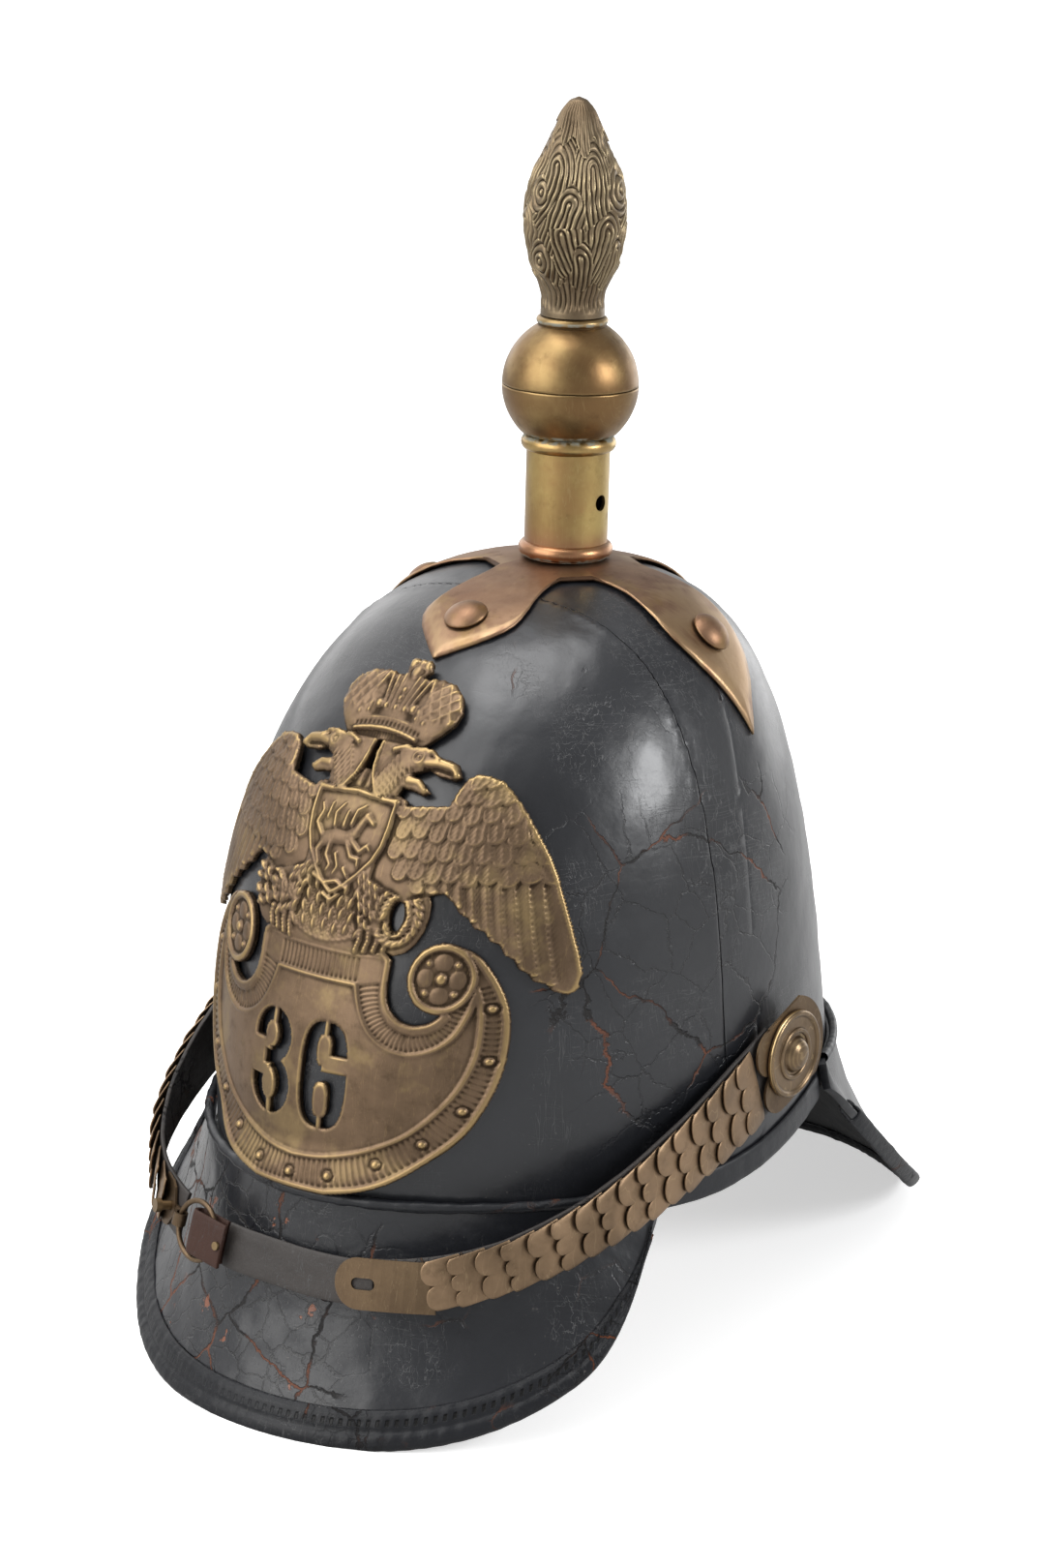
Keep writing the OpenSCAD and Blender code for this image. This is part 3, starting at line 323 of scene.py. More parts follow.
class Value:
    """One output of a node tree. Arithmetic on it adds Math nodes."""

    def __init__(self, tree, socket):
        self.tree, self.socket = tree, socket

    def node(self, kind, output=0, setting=None, **inputs):
        """Adds any node. A key is an input's name with _ for a space, or in with its number."""
        made = self.tree.nodes.new(kind)
        for key, value in (setting or {}).items():
            setattr(made, key, value)
        for key, value in inputs.items():
            place = int(key[2:]) if key[:2] == "in" and key[2:].isdigit() else key.replace("_", " ")
            target = made.inputs[place]
            if isinstance(value, Value):
                self.tree.links.new(value.socket, target)
            else:
                target.default_value = value
        return Value(self.tree, made.outputs[output])

    def math(self, operation, a, b=0.0):
        return self.node("ShaderNodeMath", 0, {"operation": operation}, in0=a, in1=b)

    def __add__(self, other):
        return self.math("ADD", self, other)

    def __radd__(self, other):
        return self.math("ADD", other, self)

    def __sub__(self, other):
        return self.math("SUBTRACT", self, other)

    def __rsub__(self, other):
        return self.math("SUBTRACT", other, self)

    def __mul__(self, other):
        return self.math("MULTIPLY", self, other)

    def __rmul__(self, other):
        return self.math("MULTIPLY", other, self)

    def __abs__(self):
        return self.math("ABSOLUTE", self)

    def clamp(self):
        return self.math("MINIMUM", self.math("MAXIMUM", self, 0.0), 1.0)

    def step(self, low, high):
        """Goes smoothly from 0 at low to 1 at high."""
        return self.node("ShaderNodeMapRange", 0, {"interpolation_type": "SMOOTHSTEP"},
                         Value=self, From_Min=low, From_Max=high)

    def stretched(self, x, y, z):
        """This vector with its axes scaled."""
        return self.node("ShaderNodeVectorMath", 0, {"operation": "MULTIPLY"}, in0=self, in1=(x, y, z))

    def moved(self, other, amount):
        """This vector moved by amount times another vector."""
        scaled = self.node("ShaderNodeVectorMath", 0, {"operation": "SCALE"}, in0=other, Scale=amount)
        return self.node("ShaderNodeVectorMath", 0, {"operation": "ADD"}, in0=self, in1=scaled)

    def part(self, axis):
        return self.node("ShaderNodeSeparateXYZ", "XYZ".index(axis), in0=self)

    def noise(self, scale, detail=3.0, rough=0.55, output=0):
        return self.node("ShaderNodeTexNoise", output, Vector=self, Scale=scale, Detail=detail,
                         Roughness=rough)

    def cells(self, scale):
        """The distance to the nearest edge of a cell."""
        return self.node("ShaderNodeTexVoronoi", 0, {"feature": "DISTANCE_TO_EDGE"}, Vector=self,
                         Scale=scale)

    def blend(self, low, high):
        """The colour low where this is 0 and high where it is 1."""
        return self.node("ShaderNodeMix", 2, {"data_type": "RGBA"}, in0=self, in6=low, in7=high)


class Material:
    """A new material with one Principled shader, and the coordinates that its graph starts from."""

    def __init__(self, name):
        self.data = bpy.data.materials.new(name)
        self.data.use_nodes = True
        self.tree = self.data.node_tree
        self.shader = self.tree.nodes["Principled BSDF"]
        coordinates = self.tree.nodes.new("ShaderNodeTexCoord")
        self.place = Value(self.tree, coordinates.outputs["Object"])
        self.uv = Value(self.tree, coordinates.outputs["UV"])

    def attribute(self, name):
        made = self.tree.nodes.new("ShaderNodeAttribute")
        made.attribute_name = name
        return Value(self.tree, made.outputs["Fac"])

    def set(self, **inputs):
        for key, value in inputs.items():
            target = self.shader.inputs[key.replace("_", " ")]
            if isinstance(value, Value):
                self.tree.links.new(value.socket, target)
            else:
                target.default_value = value
        return self

    def bump(self, height, distance):
        """A normal raised by height in millimetres times distance."""
        return self.place.node("ShaderNodeBump", Height=height, Distance=distance * 0.001, Strength=1.0)


def rgb(colour, k=1.0):
    """A colour times k, with full alpha."""
    return (*(c * k for c in colour[:3]), 1.0)


SCRATCH, HAIR, SPLIT = (0.065, 0.065, 0.066, 1), (0.003, 0.003, 0.004, 1), (0.004, 0.003, 0.003, 1)
DUST, HOLE, RESIDUE = (0.075, 0.07, 0.065, 1), (0.002, 0.002, 0.002, 1), (0.2, 0.2, 0.165, 1)


def leather_material(name, colour, rust, cracks=(26.0, 0.35), grain=0.2, rough=(0.3, 0.5), coat=0.25,
                     middle_of=None, stitches=0.0, width=0.00035, lumps=0.35, specular=0.42, dust=0.0,
                     chips=0.0):
    """Old lacquered leather: fine cracks that open to rust-red leather, scratches and soft dents.

    cracks are their scale and amount, and middle_of the spot where they gather. stitches is the
    number of holes along the binding.
    """
    m = Material(name)
    noise = m.place.noise
    bent = m.place.moved(noise(30, 3, output=1), 0.012).moved(noise(210, 3, 0.7, 1), 0.0035)
    scale, amount = cracks
    line_w = width * scale
    where = noise(15, 3)
    if middle_of is not None:
        spot, near, far = middle_of
        away = m.place.node("ShaderNodeVectorMath", 1, {"operation": "DISTANCE"}, in0=m.place, in1=spot)
        where = where + 0.34 * (1 - away.step(near, far)) - 0.1
    there = where.step(0.66 - amount * 0.3, 0.74 - amount * 0.3)
    crack = (1 - bent.cells(scale).step(line_w * 0.4, line_w * 1.3)) * there
    hair = (1 - bent.cells(scale * 2.7).step(line_w * 0.8, line_w * 2.6)) \
        * where.step(0.62 - amount * 0.25, 0.76 - amount * 0.25)
    bend = m.place.moved(noise(9, 2, output=1), 0.03)
    scratches = (1 - abs(bend.stretched(330, 330, 24).noise(1, 2) - 0.5).step(0.0, 0.009)) \
        + (1 - abs(bend.stretched(40, 30, 460).noise(1, 2) - 0.52).step(0.0, 0.007)) * 0.7
    scratches = scratches \
        + (1 - abs(bend.stretched(300, 300, 90).noise(1, 1) - 0.47).step(0.0, 0.005)) * 0.8
    scratches = (scratches * noise(26, 2).step(0.44, 0.62)).clamp()
    cloud = noise(20, 5, 0.6)
    patch = noise(55, 4, 0.7).step(0.56, 0.78)
    tone = cloud.blend(rgb(colour, 0.6), rgb(colour, 1.5))
    tone = (patch * 0.22).clamp().blend(tone, rgb([c * 2.2 + 0.012 for c in colour]))
    tone = (scratches * 0.7).clamp().blend(tone, SCRATCH)
    red = crack * noise(42, 2).step(0.47, 0.58)
    tone = (hair * 0.75).clamp().blend(tone, HAIR)
    tone = crack.blend(tone, SPLIT)
    tone = red.blend(tone, rgb(rust))
    height = cloud * 0.35 - crack * 1.5 - hair * 0.6 - scratches * 0.15 + noise(420, 3) * grain \
        + noise(80, 3) * lumps
    if dust:
        specks = (noise(640, 2).step(0.7, 0.78) + noise(170, 3, 0.75).step(0.68, 0.8)) \
            * noise(13, 2).step(0.42, 0.66) * dust
        tone = specks.clamp().blend(tone, DUST)
    if chips:
        chip = noise(115, 3, 0.65).step(0.655, 0.68) * where.step(0.52, 0.66) * chips
        tone = chip.clamp().blend(tone, rgb(rust, 1.5))
        height = height - chip * 1.2
    if stitches:
        along, down = m.uv.part("X"), m.uv.part("Y")
        hole = (1 - abs(along.math("FRACT", along * stitches) - 0.5).step(0.12, 0.24)) \
            * (1 - abs(down - 0.155).step(0.022, 0.045)) \
            * (0.15 + 0.85 * m.place.part("X").step(0.0, 0.035))
        tone = hole.blend(tone, HOLE)
        height = height - hole * 3.5
    roughness = rough[0] + (rough[1] - rough[0]) * cloud + crack * 0.35 + patch * 0.1 + scratches * 0.1
    m.set(Base_Color=tone, Roughness=roughness.clamp(), Normal=m.bump(height, 0.3),
          Specular_IOR_Level=specular)
    if coat:
        m.set(Coat_Weight=(coat * (1 - crack)).clamp(), Coat_Roughness=0.22)


def brass_material(name, colour, bright, dark, rough=(0.32, 0.5), blotch=1.0, relief=(0.2, 0.9),
                   residue=(), gold=None, hollows=0.85, stain=None):
    """Aged brass: brown film in the hollows, bare metal on the ridges, blotches and fine scratches.

    relief are the wear between which metal shows, residue the height and reach of rings of white
    polish, and stain the heights between which a colour fades out.
    """
    m = Material(name)
    noise = m.place.noise
    cloud = noise(34, 5, 0.62)
    spots = noise(150, 4, 0.7)
    pits = noise(800, 2, 0.6)
    tone = cloud.step(0.35, 0.68).blend(rgb(dark), rgb(colour))
    tone = (spots.step(0.5, 0.78) * 0.5 * blotch).clamp().blend(tone, rgb(dark, 0.5))
    if gold is not None:
        patch = noise(46, 4, 0.65).step(0.5, 0.66) * (0.35 + spots)
        tone = (patch * 0.6 * blotch).clamp().blend(tone, rgb(gold))
    if stain is not None:
        low, high, red = stain
        foot = (1 - (m.place.part("Z") + 0.006 * (cloud - 0.5)).step(low, high)) * (0.55 + 0.6 * spots)
        tone = foot.clamp().blend(tone, rgb(red))
    height = spots * 0.4 + pits * 0.5
    roughness = rough[0] + (rough[1] - rough[0]) * cloud + spots.step(0.5, 0.8) * 0.1
    if relief:
        stand = m.attribute("wear")
        shine = (stand.step(*relief) * (0.45 + spots * 0.9)).clamp()
        hollow = (0 - stand).step(0.05, 0.75)
        tone = shine.blend(tone, rgb(bright))
        tone = (hollow * hollows).clamp().blend(tone, rgb(dark, 0.22))
        roughness = roughness - shine * 0.1 + hollow * 0.2
    lines = 1 - abs(m.place.stretched(600, 90, 60).noise(1, 2) - 0.5).step(0.0, 0.012)
    tone = (lines * 0.16).clamp().blend(tone, rgb(bright))
    rings = [(1 - abs(m.place.part("Z") - at).step(reach * 0.4, reach)) * noise(320, 3).step(0.38, 0.6)
             for at, reach in residue]
    metallic = 1.0
    if rings:
        crust = sum(rings[1:], rings[0]).clamp()
        tone = crust.blend(tone, RESIDUE)
        roughness = roughness + crust * 0.35
        metallic = (1 - crust * 0.85).clamp()
    m.set(Base_Color=tone, Metallic=metallic, Roughness=roughness.clamp(), Normal=m.bump(height, 0.07))


def steel_material(colour=(0.32, 0.31, 0.3)):
    """Dull steel, for the nuts and bolts."""
    m = Material("steel")
    cloud = m.place.noise(60, 4, 0.6)
    m.set(Base_Color=cloud.blend(rgb(colour, 0.7), rgb(colour, 1.25)), Metallic=1.0,
          Roughness=0.45 + 0.2 * (cloud - 0.5), Normal=m.bump(m.place.noise(500, 3), 0.05))


# Skull and visors

def skull_surface(u, v):
    a = u * TAU
    low = level(rim(skull_point(a, np.zeros_like(a))[:, 1]))
    k = 1 - (1 - low) * (1 - 0.985 * v) ** 2.2
    p = skull_point(a, k)
    seam = p[:, 1] - SEAM_Y
    lift = 0.22 * waves(p, 46, 3) + 0.10 * waves(p, 13, 8)
    lift += np.where(seam < 0, 0.35 * bell(seam, 2.2), -0.15 * bell(seam, 3.5))
    return p + lift[:, None] * skin_normal(p)


def skull_half(end, way, thickness):
    """One half of the skull, cut at the seam. way is 1 for the front and -1 for the rear."""
    bm = grid_bmesh(skull_surface, 260, 110, loop=True)
    bmesh.ops.bisect_plane(bm, geom=bm.verts[:] + bm.edges[:] + bm.faces[:], dist=MERGE,
                           plane_co=(0, (SEAM_Y - MID_Y - way * SEAM_GAP) * 0.001, 0),
                           plane_no=(0, way, 0), clear_outer=True)
    piece = finish_piece(end + "_skull_leather", bm, "helmet", "skull leather",
                         ["skull_" + end])
    return solid(piece, thickness, 0.35)


def front_lip(a):
    c = np.maximum(0, np.cos(a))
    return stack(98 * np.sin(a) - 12 * np.sign(a) * ease((np.abs(np.degrees(a)) - 60) / 30),
                 FRONT_ROOT[0] - 90.5 * c ** 1.25, mix(LIP_Z, 66.9, (1 - c) ** 1.7))


def rear_lip(a):
    c = np.maximum(0, np.cos(a))
    return stack(88.7 * np.sin(a), REAR_ROOT[0] + 140 * c ** 0.88, mix(LIP_Z, 76.5, (1 - c) ** 1.89))


BRIMS = {"front": (1, front_lip, FRONT_ROOT), "rear": (-1, rear_lip, REAR_ROOT)}


def brim(end, u, v):
    """The outer face of a visor, from its lip at v = 0 to the skull at v = 1."""
    way, lip, (root_y, z) = BRIMS[end]
    a = way * np.pi * (u - 0.5)
    x = side_x(root_y, z, FLANGE_LIFT) * np.sin(a)
    k = 1 - (1 - v) ** 1.5
    return mix(lip(a), stack(x, end_y(x, z, way, FLANGE_LIFT), z), stack(k, k, v))


def brim_normal(end, u, v, h=0.002):
    along_u = brim(end, np.minimum(1, u + h), v) - brim(end, np.maximum(0, u - h), v)
    along_v = brim(end, u, np.minimum(1, v + h)) - brim(end, u, np.maximum(0, v - h))
    return unit(np.cross(along_u, along_v))


def visor(end, thickness):
    def surface(u, v):
        p = brim(end, u, v)
        lump = 0.35 * waves(p, 38, 21) + 0.12 * waves(p, 11, 5)
        return p + (lump * np.minimum(1, (1 - v) * 6))[:, None] * brim_normal(end, u, v)
    piece = finish_piece(end + "_visor_leather", grid_bmesh(surface, 200, 56), "helmet",
                         end + " visor leather", [end + "_visor"])
    return solid(piece, thickness, 0.3)


def fold(v, arm):
    """How far up its arm and how far round the edge a folded strip is, at v across the strip."""
    share = np.where(v < arm, (arm - v) / arm, np.where(v > 1 - arm, (v - 1 + arm) / arm, 0))
    return share, np.clip((v - arm) / (1 - 2 * arm), 0, 1) * np.pi


def brim_binding(end, width):
    """Leather folded over a brim's edge: v goes from the outer side round the lip to the inner side."""
    def surface(u, v):
        u = mix(0.03, 0.97, u)
        edge = brim(end, u, 0 * u)
        reach = brim(end, u, 0 * u + 0.12) - edge
        w = np.minimum(width, 2.0 * np.linalg.norm(reach, axis=1))
        lump = 1 + 0.1 * waves(edge, 9, 31, 2) + 0.07 * waves(edge, 3.5, 14, 1)
        share, turn = fold(v, 0.38)
        radius = VISOR_T / 2 + 0.45 + BINDING_T * 0.9 * lump
        seam = 0.45 * bell(share - 0.36, 0.06) * (v < 0.5)
        close = 0.75 * ease((share - 0.78) / 0.2)
        out = radius * np.cos(turn) - VISOR_T / 2 - np.where(v < 0.5, seam + close, -close)
        out = out + 0.22 * lump * np.sin(np.clip(share * 3.2, 0, 1) * np.pi) * np.where(v < 0.5, 1, -1)
        p = edge + unit(reach) * (share * w - radius * 0.75 * np.sin(turn))[:, None]
        p = p + brim_normal(end, u, 0 * u + 0.03) * out[:, None]
        return stack(p[:, 0], p[:, 1], np.maximum(p[:, 2], STAND_CLEAR))
    piece = finish_piece(end + "_edge_binding", grid_bmesh(surface, 520, 34, flip=True), "helmet",
                         "binding leather", [end + "_visor_binding"])
    return solid(piece, 0.6)


def flange_roll(end, radius):
    """The visor's upper edge: a stitched flange that stands up against the skull."""
    def surface(u, v):
        u, t = mix(0.01, 0.99, u), v * TAU
        top = brim(end, u, 0 * u + 0.995)
        flat = unit(brim_normal(end, u, 0 * u + 0.99) * (1, 1, 0))
        r = radius * (1 + 0.12 * waves(top, 8, 44, 2))
        up = stack(0 * u, 0 * u, 1.15 * r * np.sin(t) + 0.4)
        return top + flat * (r * np.cos(t) - 0.5)[:, None] + up
    bm = grid_bmesh(surface, 300, 14, loop=True, flip=True)
    return finish_piece(end + "_flange_roll", bm, "helmet", "rim leather")


def rim_strip():
    """The narrow binding between the visors, on both sides."""
    bm = bmesh.new()
    for side in (1, -1):
        def surface(u, v, side=side):
            y = mix(RIM_START, RIM_END, u if side > 0 else 1 - u)
            p = stack(side * side_x(y, rim(y)), y, rim(y))
            n = skin_normal(p)
            up = unit(np.cross(n, (0, 1.0, 0)))
            share, turn = fold(v, 0.36)
            radius = LEATHER_T / 2 + 0.45 + BINDING_T * (1 + 0.12 * waves(p, 7, 9, 2))
            close = 0.6 * ease((share - 0.8) / 0.2)
            out = radius * np.cos(turn) - LEATHER_T / 2 - np.where(v < 0.5, close, -close)
            rise = (share * 7 - 0.8 * radius * np.sin(turn))[:, None]
            return p + n * out[:, None] + up * np.sign(up[:, 2:3]) * rise
        join(bm, grid_bmesh(surface, 120, 22, flip=True))
    piece = finish_piece("rim_binding_leather", bm, "helmet", "rim leather",
                         ["rim_binding"])
    return solid(piece, 0.5)


# Front plate

SHIELD = [(12, 70), (22, 72.3), (30, 76), (38, 82), (43, 86.5), (47, 91), (50.5, 98), (53, 105),
          (54.5, 112), (55, 120), (54.6, 127), (53, 133), (50, 139), (46, 144.3), (42, 146.5),
          (36, 147.7), (37.3, 137.2), (38.2, 126.6), (36.4, 124.7), (34.2, 123.6), (31.5, 123.2),
          (28.6, 123.8), (26.2, 125.6), (24.4, 128), (23.5, 131), (23.2, 136), (23.3, 141), (20.5, 144)]
WING = [(28.5, 184), (29.3, 188), (30.5, 191), (33, 192.8), (36, 192.6), (40, 191.3), (44, 188),
        (48, 183.5), (52, 178), (55.5, 172.5), (58.5, 166.5), (61, 159.5), (63.5, 152), (65.5, 145),
        (66.8, 139), (66.5, 134.5), (65, 132.6), (62, 134), (60.4, 136.2), (58, 137), (56.6, 139.4),
        (54.6, 140.6), (53.2, 143.4), (51, 144.8), (49.6, 147.6), (47.2, 148.6), (45.6, 151.2),
        (43, 152), (41, 154.8), (38.6, 156), (36.6, 158.8), (33.5, 161), (24, 158), (12, 162),
        (12, 182), (20, 183)]
BODY = [(13, 141), (21, 143), (23.4, 142.4), (26.5, 143.6), (29, 146.4), (30.6, 150), (31.2, 154),
        (31, 158), (29.4, 161.5), (24, 166), (16, 184), (12.5, 185), (8, 183.5), (4, 186), (1.5, 190)]
HEAD = [(4, 185.5), (1.5, 190), (1, 199), (8, 198.5), (12, 197), (16, 197.5), (19, 197), (20.5, 195.7),
        (24, 195.5), (27, 194.5), (29, 191.5), (27.5, 190.5), (25, 191), (22, 191.3), (19, 192.5),
        (15, 191), (15, 190), (18, 189.8), (20, 188), (22, 186.8), (20, 185.8), (17, 186.6),
        (13.3, 187), (12.5, 184), (6, 183)]
CROWN = [(14, 197.5), (18, 201), (20.5, 204), (21, 207), (19, 210.5), (15, 213), (10, 213.8), (5, 213.2),
         (3, 213.6), (4.4, 215.3), (3.4, 217)]
ARMS = [(14.3, 183.2), (14.3, 176), (13.6, 171), (11.6, 166.5), (8, 162), (4, 158.2), (0, 155.6),
        (-4, 158.2), (-8, 162), (-11.6, 166.5), (-13.6, 171), (-14.3, 176), (-14.3, 183.2), (0, 184.6)]
FIELD_EDGE = [(0, 79.9), (8, 80.5), (14, 81.8), (20, 83.5), (26, 86.2), (31.8, 89.5), (36.6, 94),
              (40.2, 98.3), (43.7, 103.4), (46.2, 109.1), (47.8, 115), (48.3, 120.5), (48.2, 126),
              (47.4, 131.2), (46, 135)]
SCROLL_EDGE = [(14, 132.7), (15.7, 126.4), (18.4, 121), (21.8, 117.4), (26, 115.1), (30.6, 114.2),
               (35, 115.1), (39.4, 117.6), (42.4, 121), (44, 124.8), (45.4, 129), (46.2, 134)]
GAP_EDGE = [(22.1, 141), (22.2, 131), (23.4, 126.6), (25.6, 123.6), (28.6, 121.8), (32, 121.2),
            (35.4, 121.9), (38.2, 123.8), (39.9, 126.4)]
VOLUTE = (37.3, 137.2)
WREATH, WREATH_EYE = (22.4, 153.4), (1.9, 4.2)


def mirrored(half):
    """The closed outline whose right half, from bottom to top, is half."""
    return list(half) + [(-x, z) for x, z in reversed(half)]


def sided(points, side):
    return [(side * x, z) for x, z in points]


def rounded(points, rounds=3, sharp=35):
    """The line with its blunt bends cut to a curve, and its sharp corners kept."""
    for _ in range(rounds):
        made = [points[0]]
        for a, b, c in zip(points, points[1:], points[2:]):
            ab, bc = np.subtract(b, a), np.subtract(c, b)
            turn = np.degrees(abs(np.arctan2(ab[0] * bc[1] - ab[1] * bc[0], ab @ bc)))
            made += [tuple(b - ab / 4), tuple(b + bc / 4)] if turn < sharp else [b]
        points = made + [points[-1]]
    return points


def polygon(x, z, points):
    """Signed distance to a closed polygon, negative inside."""
    best = np.full(x.shape, 1e9)
    inside = np.zeros(x.shape, bool)
    for (x1, z1), (x2, z2) in zip(points, points[1:] + points[:1]):
        ex, ez = x2 - x1, z2 - z1
        t = np.clip(((x - x1) * ex + (z - z1) * ez) / (ex * ex + ez * ez), 0, 1)
        best = np.minimum(best, (x - x1 - t * ex) ** 2 + (z - z1 - t * ez) ** 2)
        if z1 != z2:
            crosses = (z1 > z) != (z2 > z)
            inside ^= crosses & (x < (x2 - x1) * (z - z1) / (z2 - z1) + x1)
    return np.sqrt(best) * np.where(inside, -1, 1)


def line(x, z, points, radii=(0.0, 0.0)):
    """Distance to a polyline, less a radius that runs along it, and the length along it."""
    best, place = np.full(x.shape, 1e9), np.zeros(x.shape)
    count, run = len(points) - 1, 0.0
    for i, ((x1, z1), (x2, z2)) in enumerate(zip(points, points[1:])):
        ex, ez = x2 - x1, z2 - z1
        t = np.clip(((x - x1) * ex + (z - z1) * ez) / (ex * ex + ez * ez), 0, 1)
        d = np.hypot(x - x1 - t * ex, z - z1 - t * ez) - mix(radii[0], radii[1], (i + t) / count)
        nearer = d < best
        best, place = np.where(nearer, d, best), np.where(nearer, run + t * np.hypot(ex, ez), place)
        run += np.hypot(ex, ez)
    return best, place


def bulge(d, width, height):
    """A rounded form that rises from its edge d = 0 to its full height at a depth of width."""
    k = np.clip(-d / width, 0, 1)
    return height * np.sqrt(k * (2 - k))


def ridge(d, width, height):
    k = np.clip(1 - np.abs(d) / (width / 2), 0, 1)
    return height * np.sqrt(k * (2 - k))


def blur(h, cells):
    reach = int(np.ceil(3 * cells))
    k = np.exp(-0.5 * (np.arange(-reach, reach + 1) / cells) ** 2)
    k /= k.sum()
    for axis in (0, 1):
        wide = np.pad(h, [(reach, reach) if i == axis else (0, 0) for i in (0, 1)], mode="edge")
        n = h.shape[axis]
        h = sum(w * np.take(wide, range(i, i + n), axis=axis) for i, w in enumerate(k))
    return h


class Relief:
    """A height field over the plate's front, in millimetres, on which forms are laid one by one."""

    def __init__(self, x, z, cell):
        self.x, self.z, self.cell = x, z, cell
        self.h = np.zeros_like(x)

    def near(self, points, reach):
        """The part of the field round some points."""
        points = np.asarray(points, float)
        low = (points.min(0) - reach - (self.x[0, 0], self.z[0, 0])) / self.cell
        high = (points.max(0) + reach - (self.x[0, 0], self.z[0, 0])) / self.cell
        a, b = np.maximum(low.astype(int), 0), np.maximum(high.astype(int) + 2, 0)
        return slice(a[0], b[0]), slice(a[1], b[1])

    def feather(self, root, tip, half, rise, lift, barbs=1.15, rim_high=0.3, grooves=0.13, tilt=0.0):
        """Lays one feather with raised rim and shaft. Its rounded tip stands lift above its root."""
        at = self.near([root, tip], half + 1)
        x, z, h = self.x[at], self.z[at], self.h[at]
        length = np.hypot(tip[0] - root[0], tip[1] - root[1])
        dx, dz = (tip[0] - root[0]) / length, (tip[1] - root[1]) / length
        along = (x - root[0]) * dx + (z - root[1]) * dz
        off = (x - root[0]) * -dz + (z - root[1]) * dx
        nose = np.clip((along - (length - half)) / half, 0, 1)
        edge = half * np.sqrt(np.clip(1 - nose ** 2, 0, 1))
        d = np.where(nose > 0, np.hypot(off, (along - length + half)) - half, np.abs(off) - half)
        inside = (np.abs(off) < edge) & (along > -half) & (along < length)
        t = np.clip(along / length, 0, 1)
        top = rise + lift * t + bulge(d, half * 0.9, 0.25) + tilt * off / half
        top += rim_high * bell(d + 0.36, 0.24) * ease((t - 0.1) / 0.3)
        top += 0.22 * bell(off, 0.26) * ease((1 - t) / 0.2)
        top += grooves * np.sin(TAU * (along - 1.3 * np.abs(off)) / barbs) * ease(-d / 0.7)
        self.h[at] = np.where(inside, np.maximum(top, 0), h)

    def form(self, points, radii, rise, high, shoulder=1.0, rings=0.0, pitch=1.2):
        """Lays a rounded stroke along points. rings gives it cross ribs."""
        at = self.near(points, max(radii) + 1)
        d, run = line(self.x[at], self.z[at], points, radii)
        top = rise + bulge(d, shoulder * max(radii), high)
        top = top + rings * np.cos(TAU * run / pitch) * ease(-d / 0.4)
        old = self.h[at]
        self.h[at] = np.where(d < 0, np.maximum(top, old), old)

    def drop(self, x, z, angle, length, half, rise, high):
        """Lays a bright drop, pointed at both ends, as on a laurel leaf."""
        at = self.near([(x, z)], length)
        c, s = np.cos(angle), np.sin(angle)
        a = (self.x[at] - x) * c + (self.z[at] - z) * s
        b = -(self.x[at] - x) * s + (self.z[at] - z) * c
        d = np.abs(b) - half * np.clip(1 - np.abs(2 * a / length) ** 1.7, 0, 1)
        inside = (d < 0) & (np.abs(a) < length / 2)
        self.h[at] = np.where(inside, rise + bulge(d, half, high), self.h[at])

    def bead(self, x, z, size, rise, high):
        self.form([(x, z), (x + 0.01, z)], (size, size), rise, high)

    def groove(self, points, width, depth):
        at = self.near(points, width + 1)
        d, _ = line(self.x[at], self.z[at], points)
        self.h[at] -= depth * bell(d, width)


def wing_relief(r, side, d_wing):
    inside = d_wing < 0
    before = r.h.copy()
    r.h = np.where(inside, 0.35 + bulge(d_wing, 5, 0.4), r.h)
    tips = [(27, 160), (31, 160.5), (34.6, 160.6), (38.4, 157.4), (42.6, 153.6), (46.8, 150),
            (50.6, 146.4), (54.2, 142.4), (58, 138.6), (61.8, 135.6), (65.3, 133.2)]
    for i, tip in enumerate(tips):
        k = i / (len(tips) - 1)
        root = (mix(22, 57.5, k ** 0.85), mix(174, 170, k))
        r.feather(*sided([root, tip], side), mix(2.3, 2.7, k), 0.5, 0.5, 1.5, 0.5, 0.08, side * 0.45)
    # lower edge, length and half width of the feathers, their count, first and last x, and height
    rows = ((163.2, 9.5, 2.5, 9, 19.5, 58.6, 0.55), (168.6, 8.5, 2.45, 9, 16.6, 56.2, 0.62),
            (174.0, 8.0, 2.35, 8, 17.5, 53.6, 0.70), (179.2, 7.5, 2.3, 8, 16, 50.6, 0.78),
            (184.2, 6.5, 2.2, 5, 31, 47.2, 0.86), (188.4, 5.5, 2.1, 3, 33.5, 42.6, 0.94))
    for low, length, half, count, first, last, rise in rows:
        for i in range(count):
            k = i / (count - 1)
            tip_x = mix(first, last, k)
            tip_z = low + 1.6 * k ** 3 + (0.5 if i % 2 else -0.2)
            lean = mix(-0.25, 0.42, k)
            root = (side * (tip_x - length * np.sin(lean)), tip_z + length * np.cos(lean))
            r.feather(root, (side * tip_x, tip_z), half, rise, 0.55, 1.5, 0.42, 0.14, side * 0.12)
    edge = [(31, 191.3), (34.5, 191.8), (40, 190.1), (44, 186.9), (48, 182.4), (52, 176.9),
            (55.5, 171.4), (58.3, 165.4), (60.9, 158.4), (63.3, 150.9), (65.3, 143.9), (66.1, 138),
            (65.6, 134.4)]
    r.form(sided(edge, side), (0.6, 0.5), 1.0, 0.5)
    r.h = np.where(inside, r.h, before)


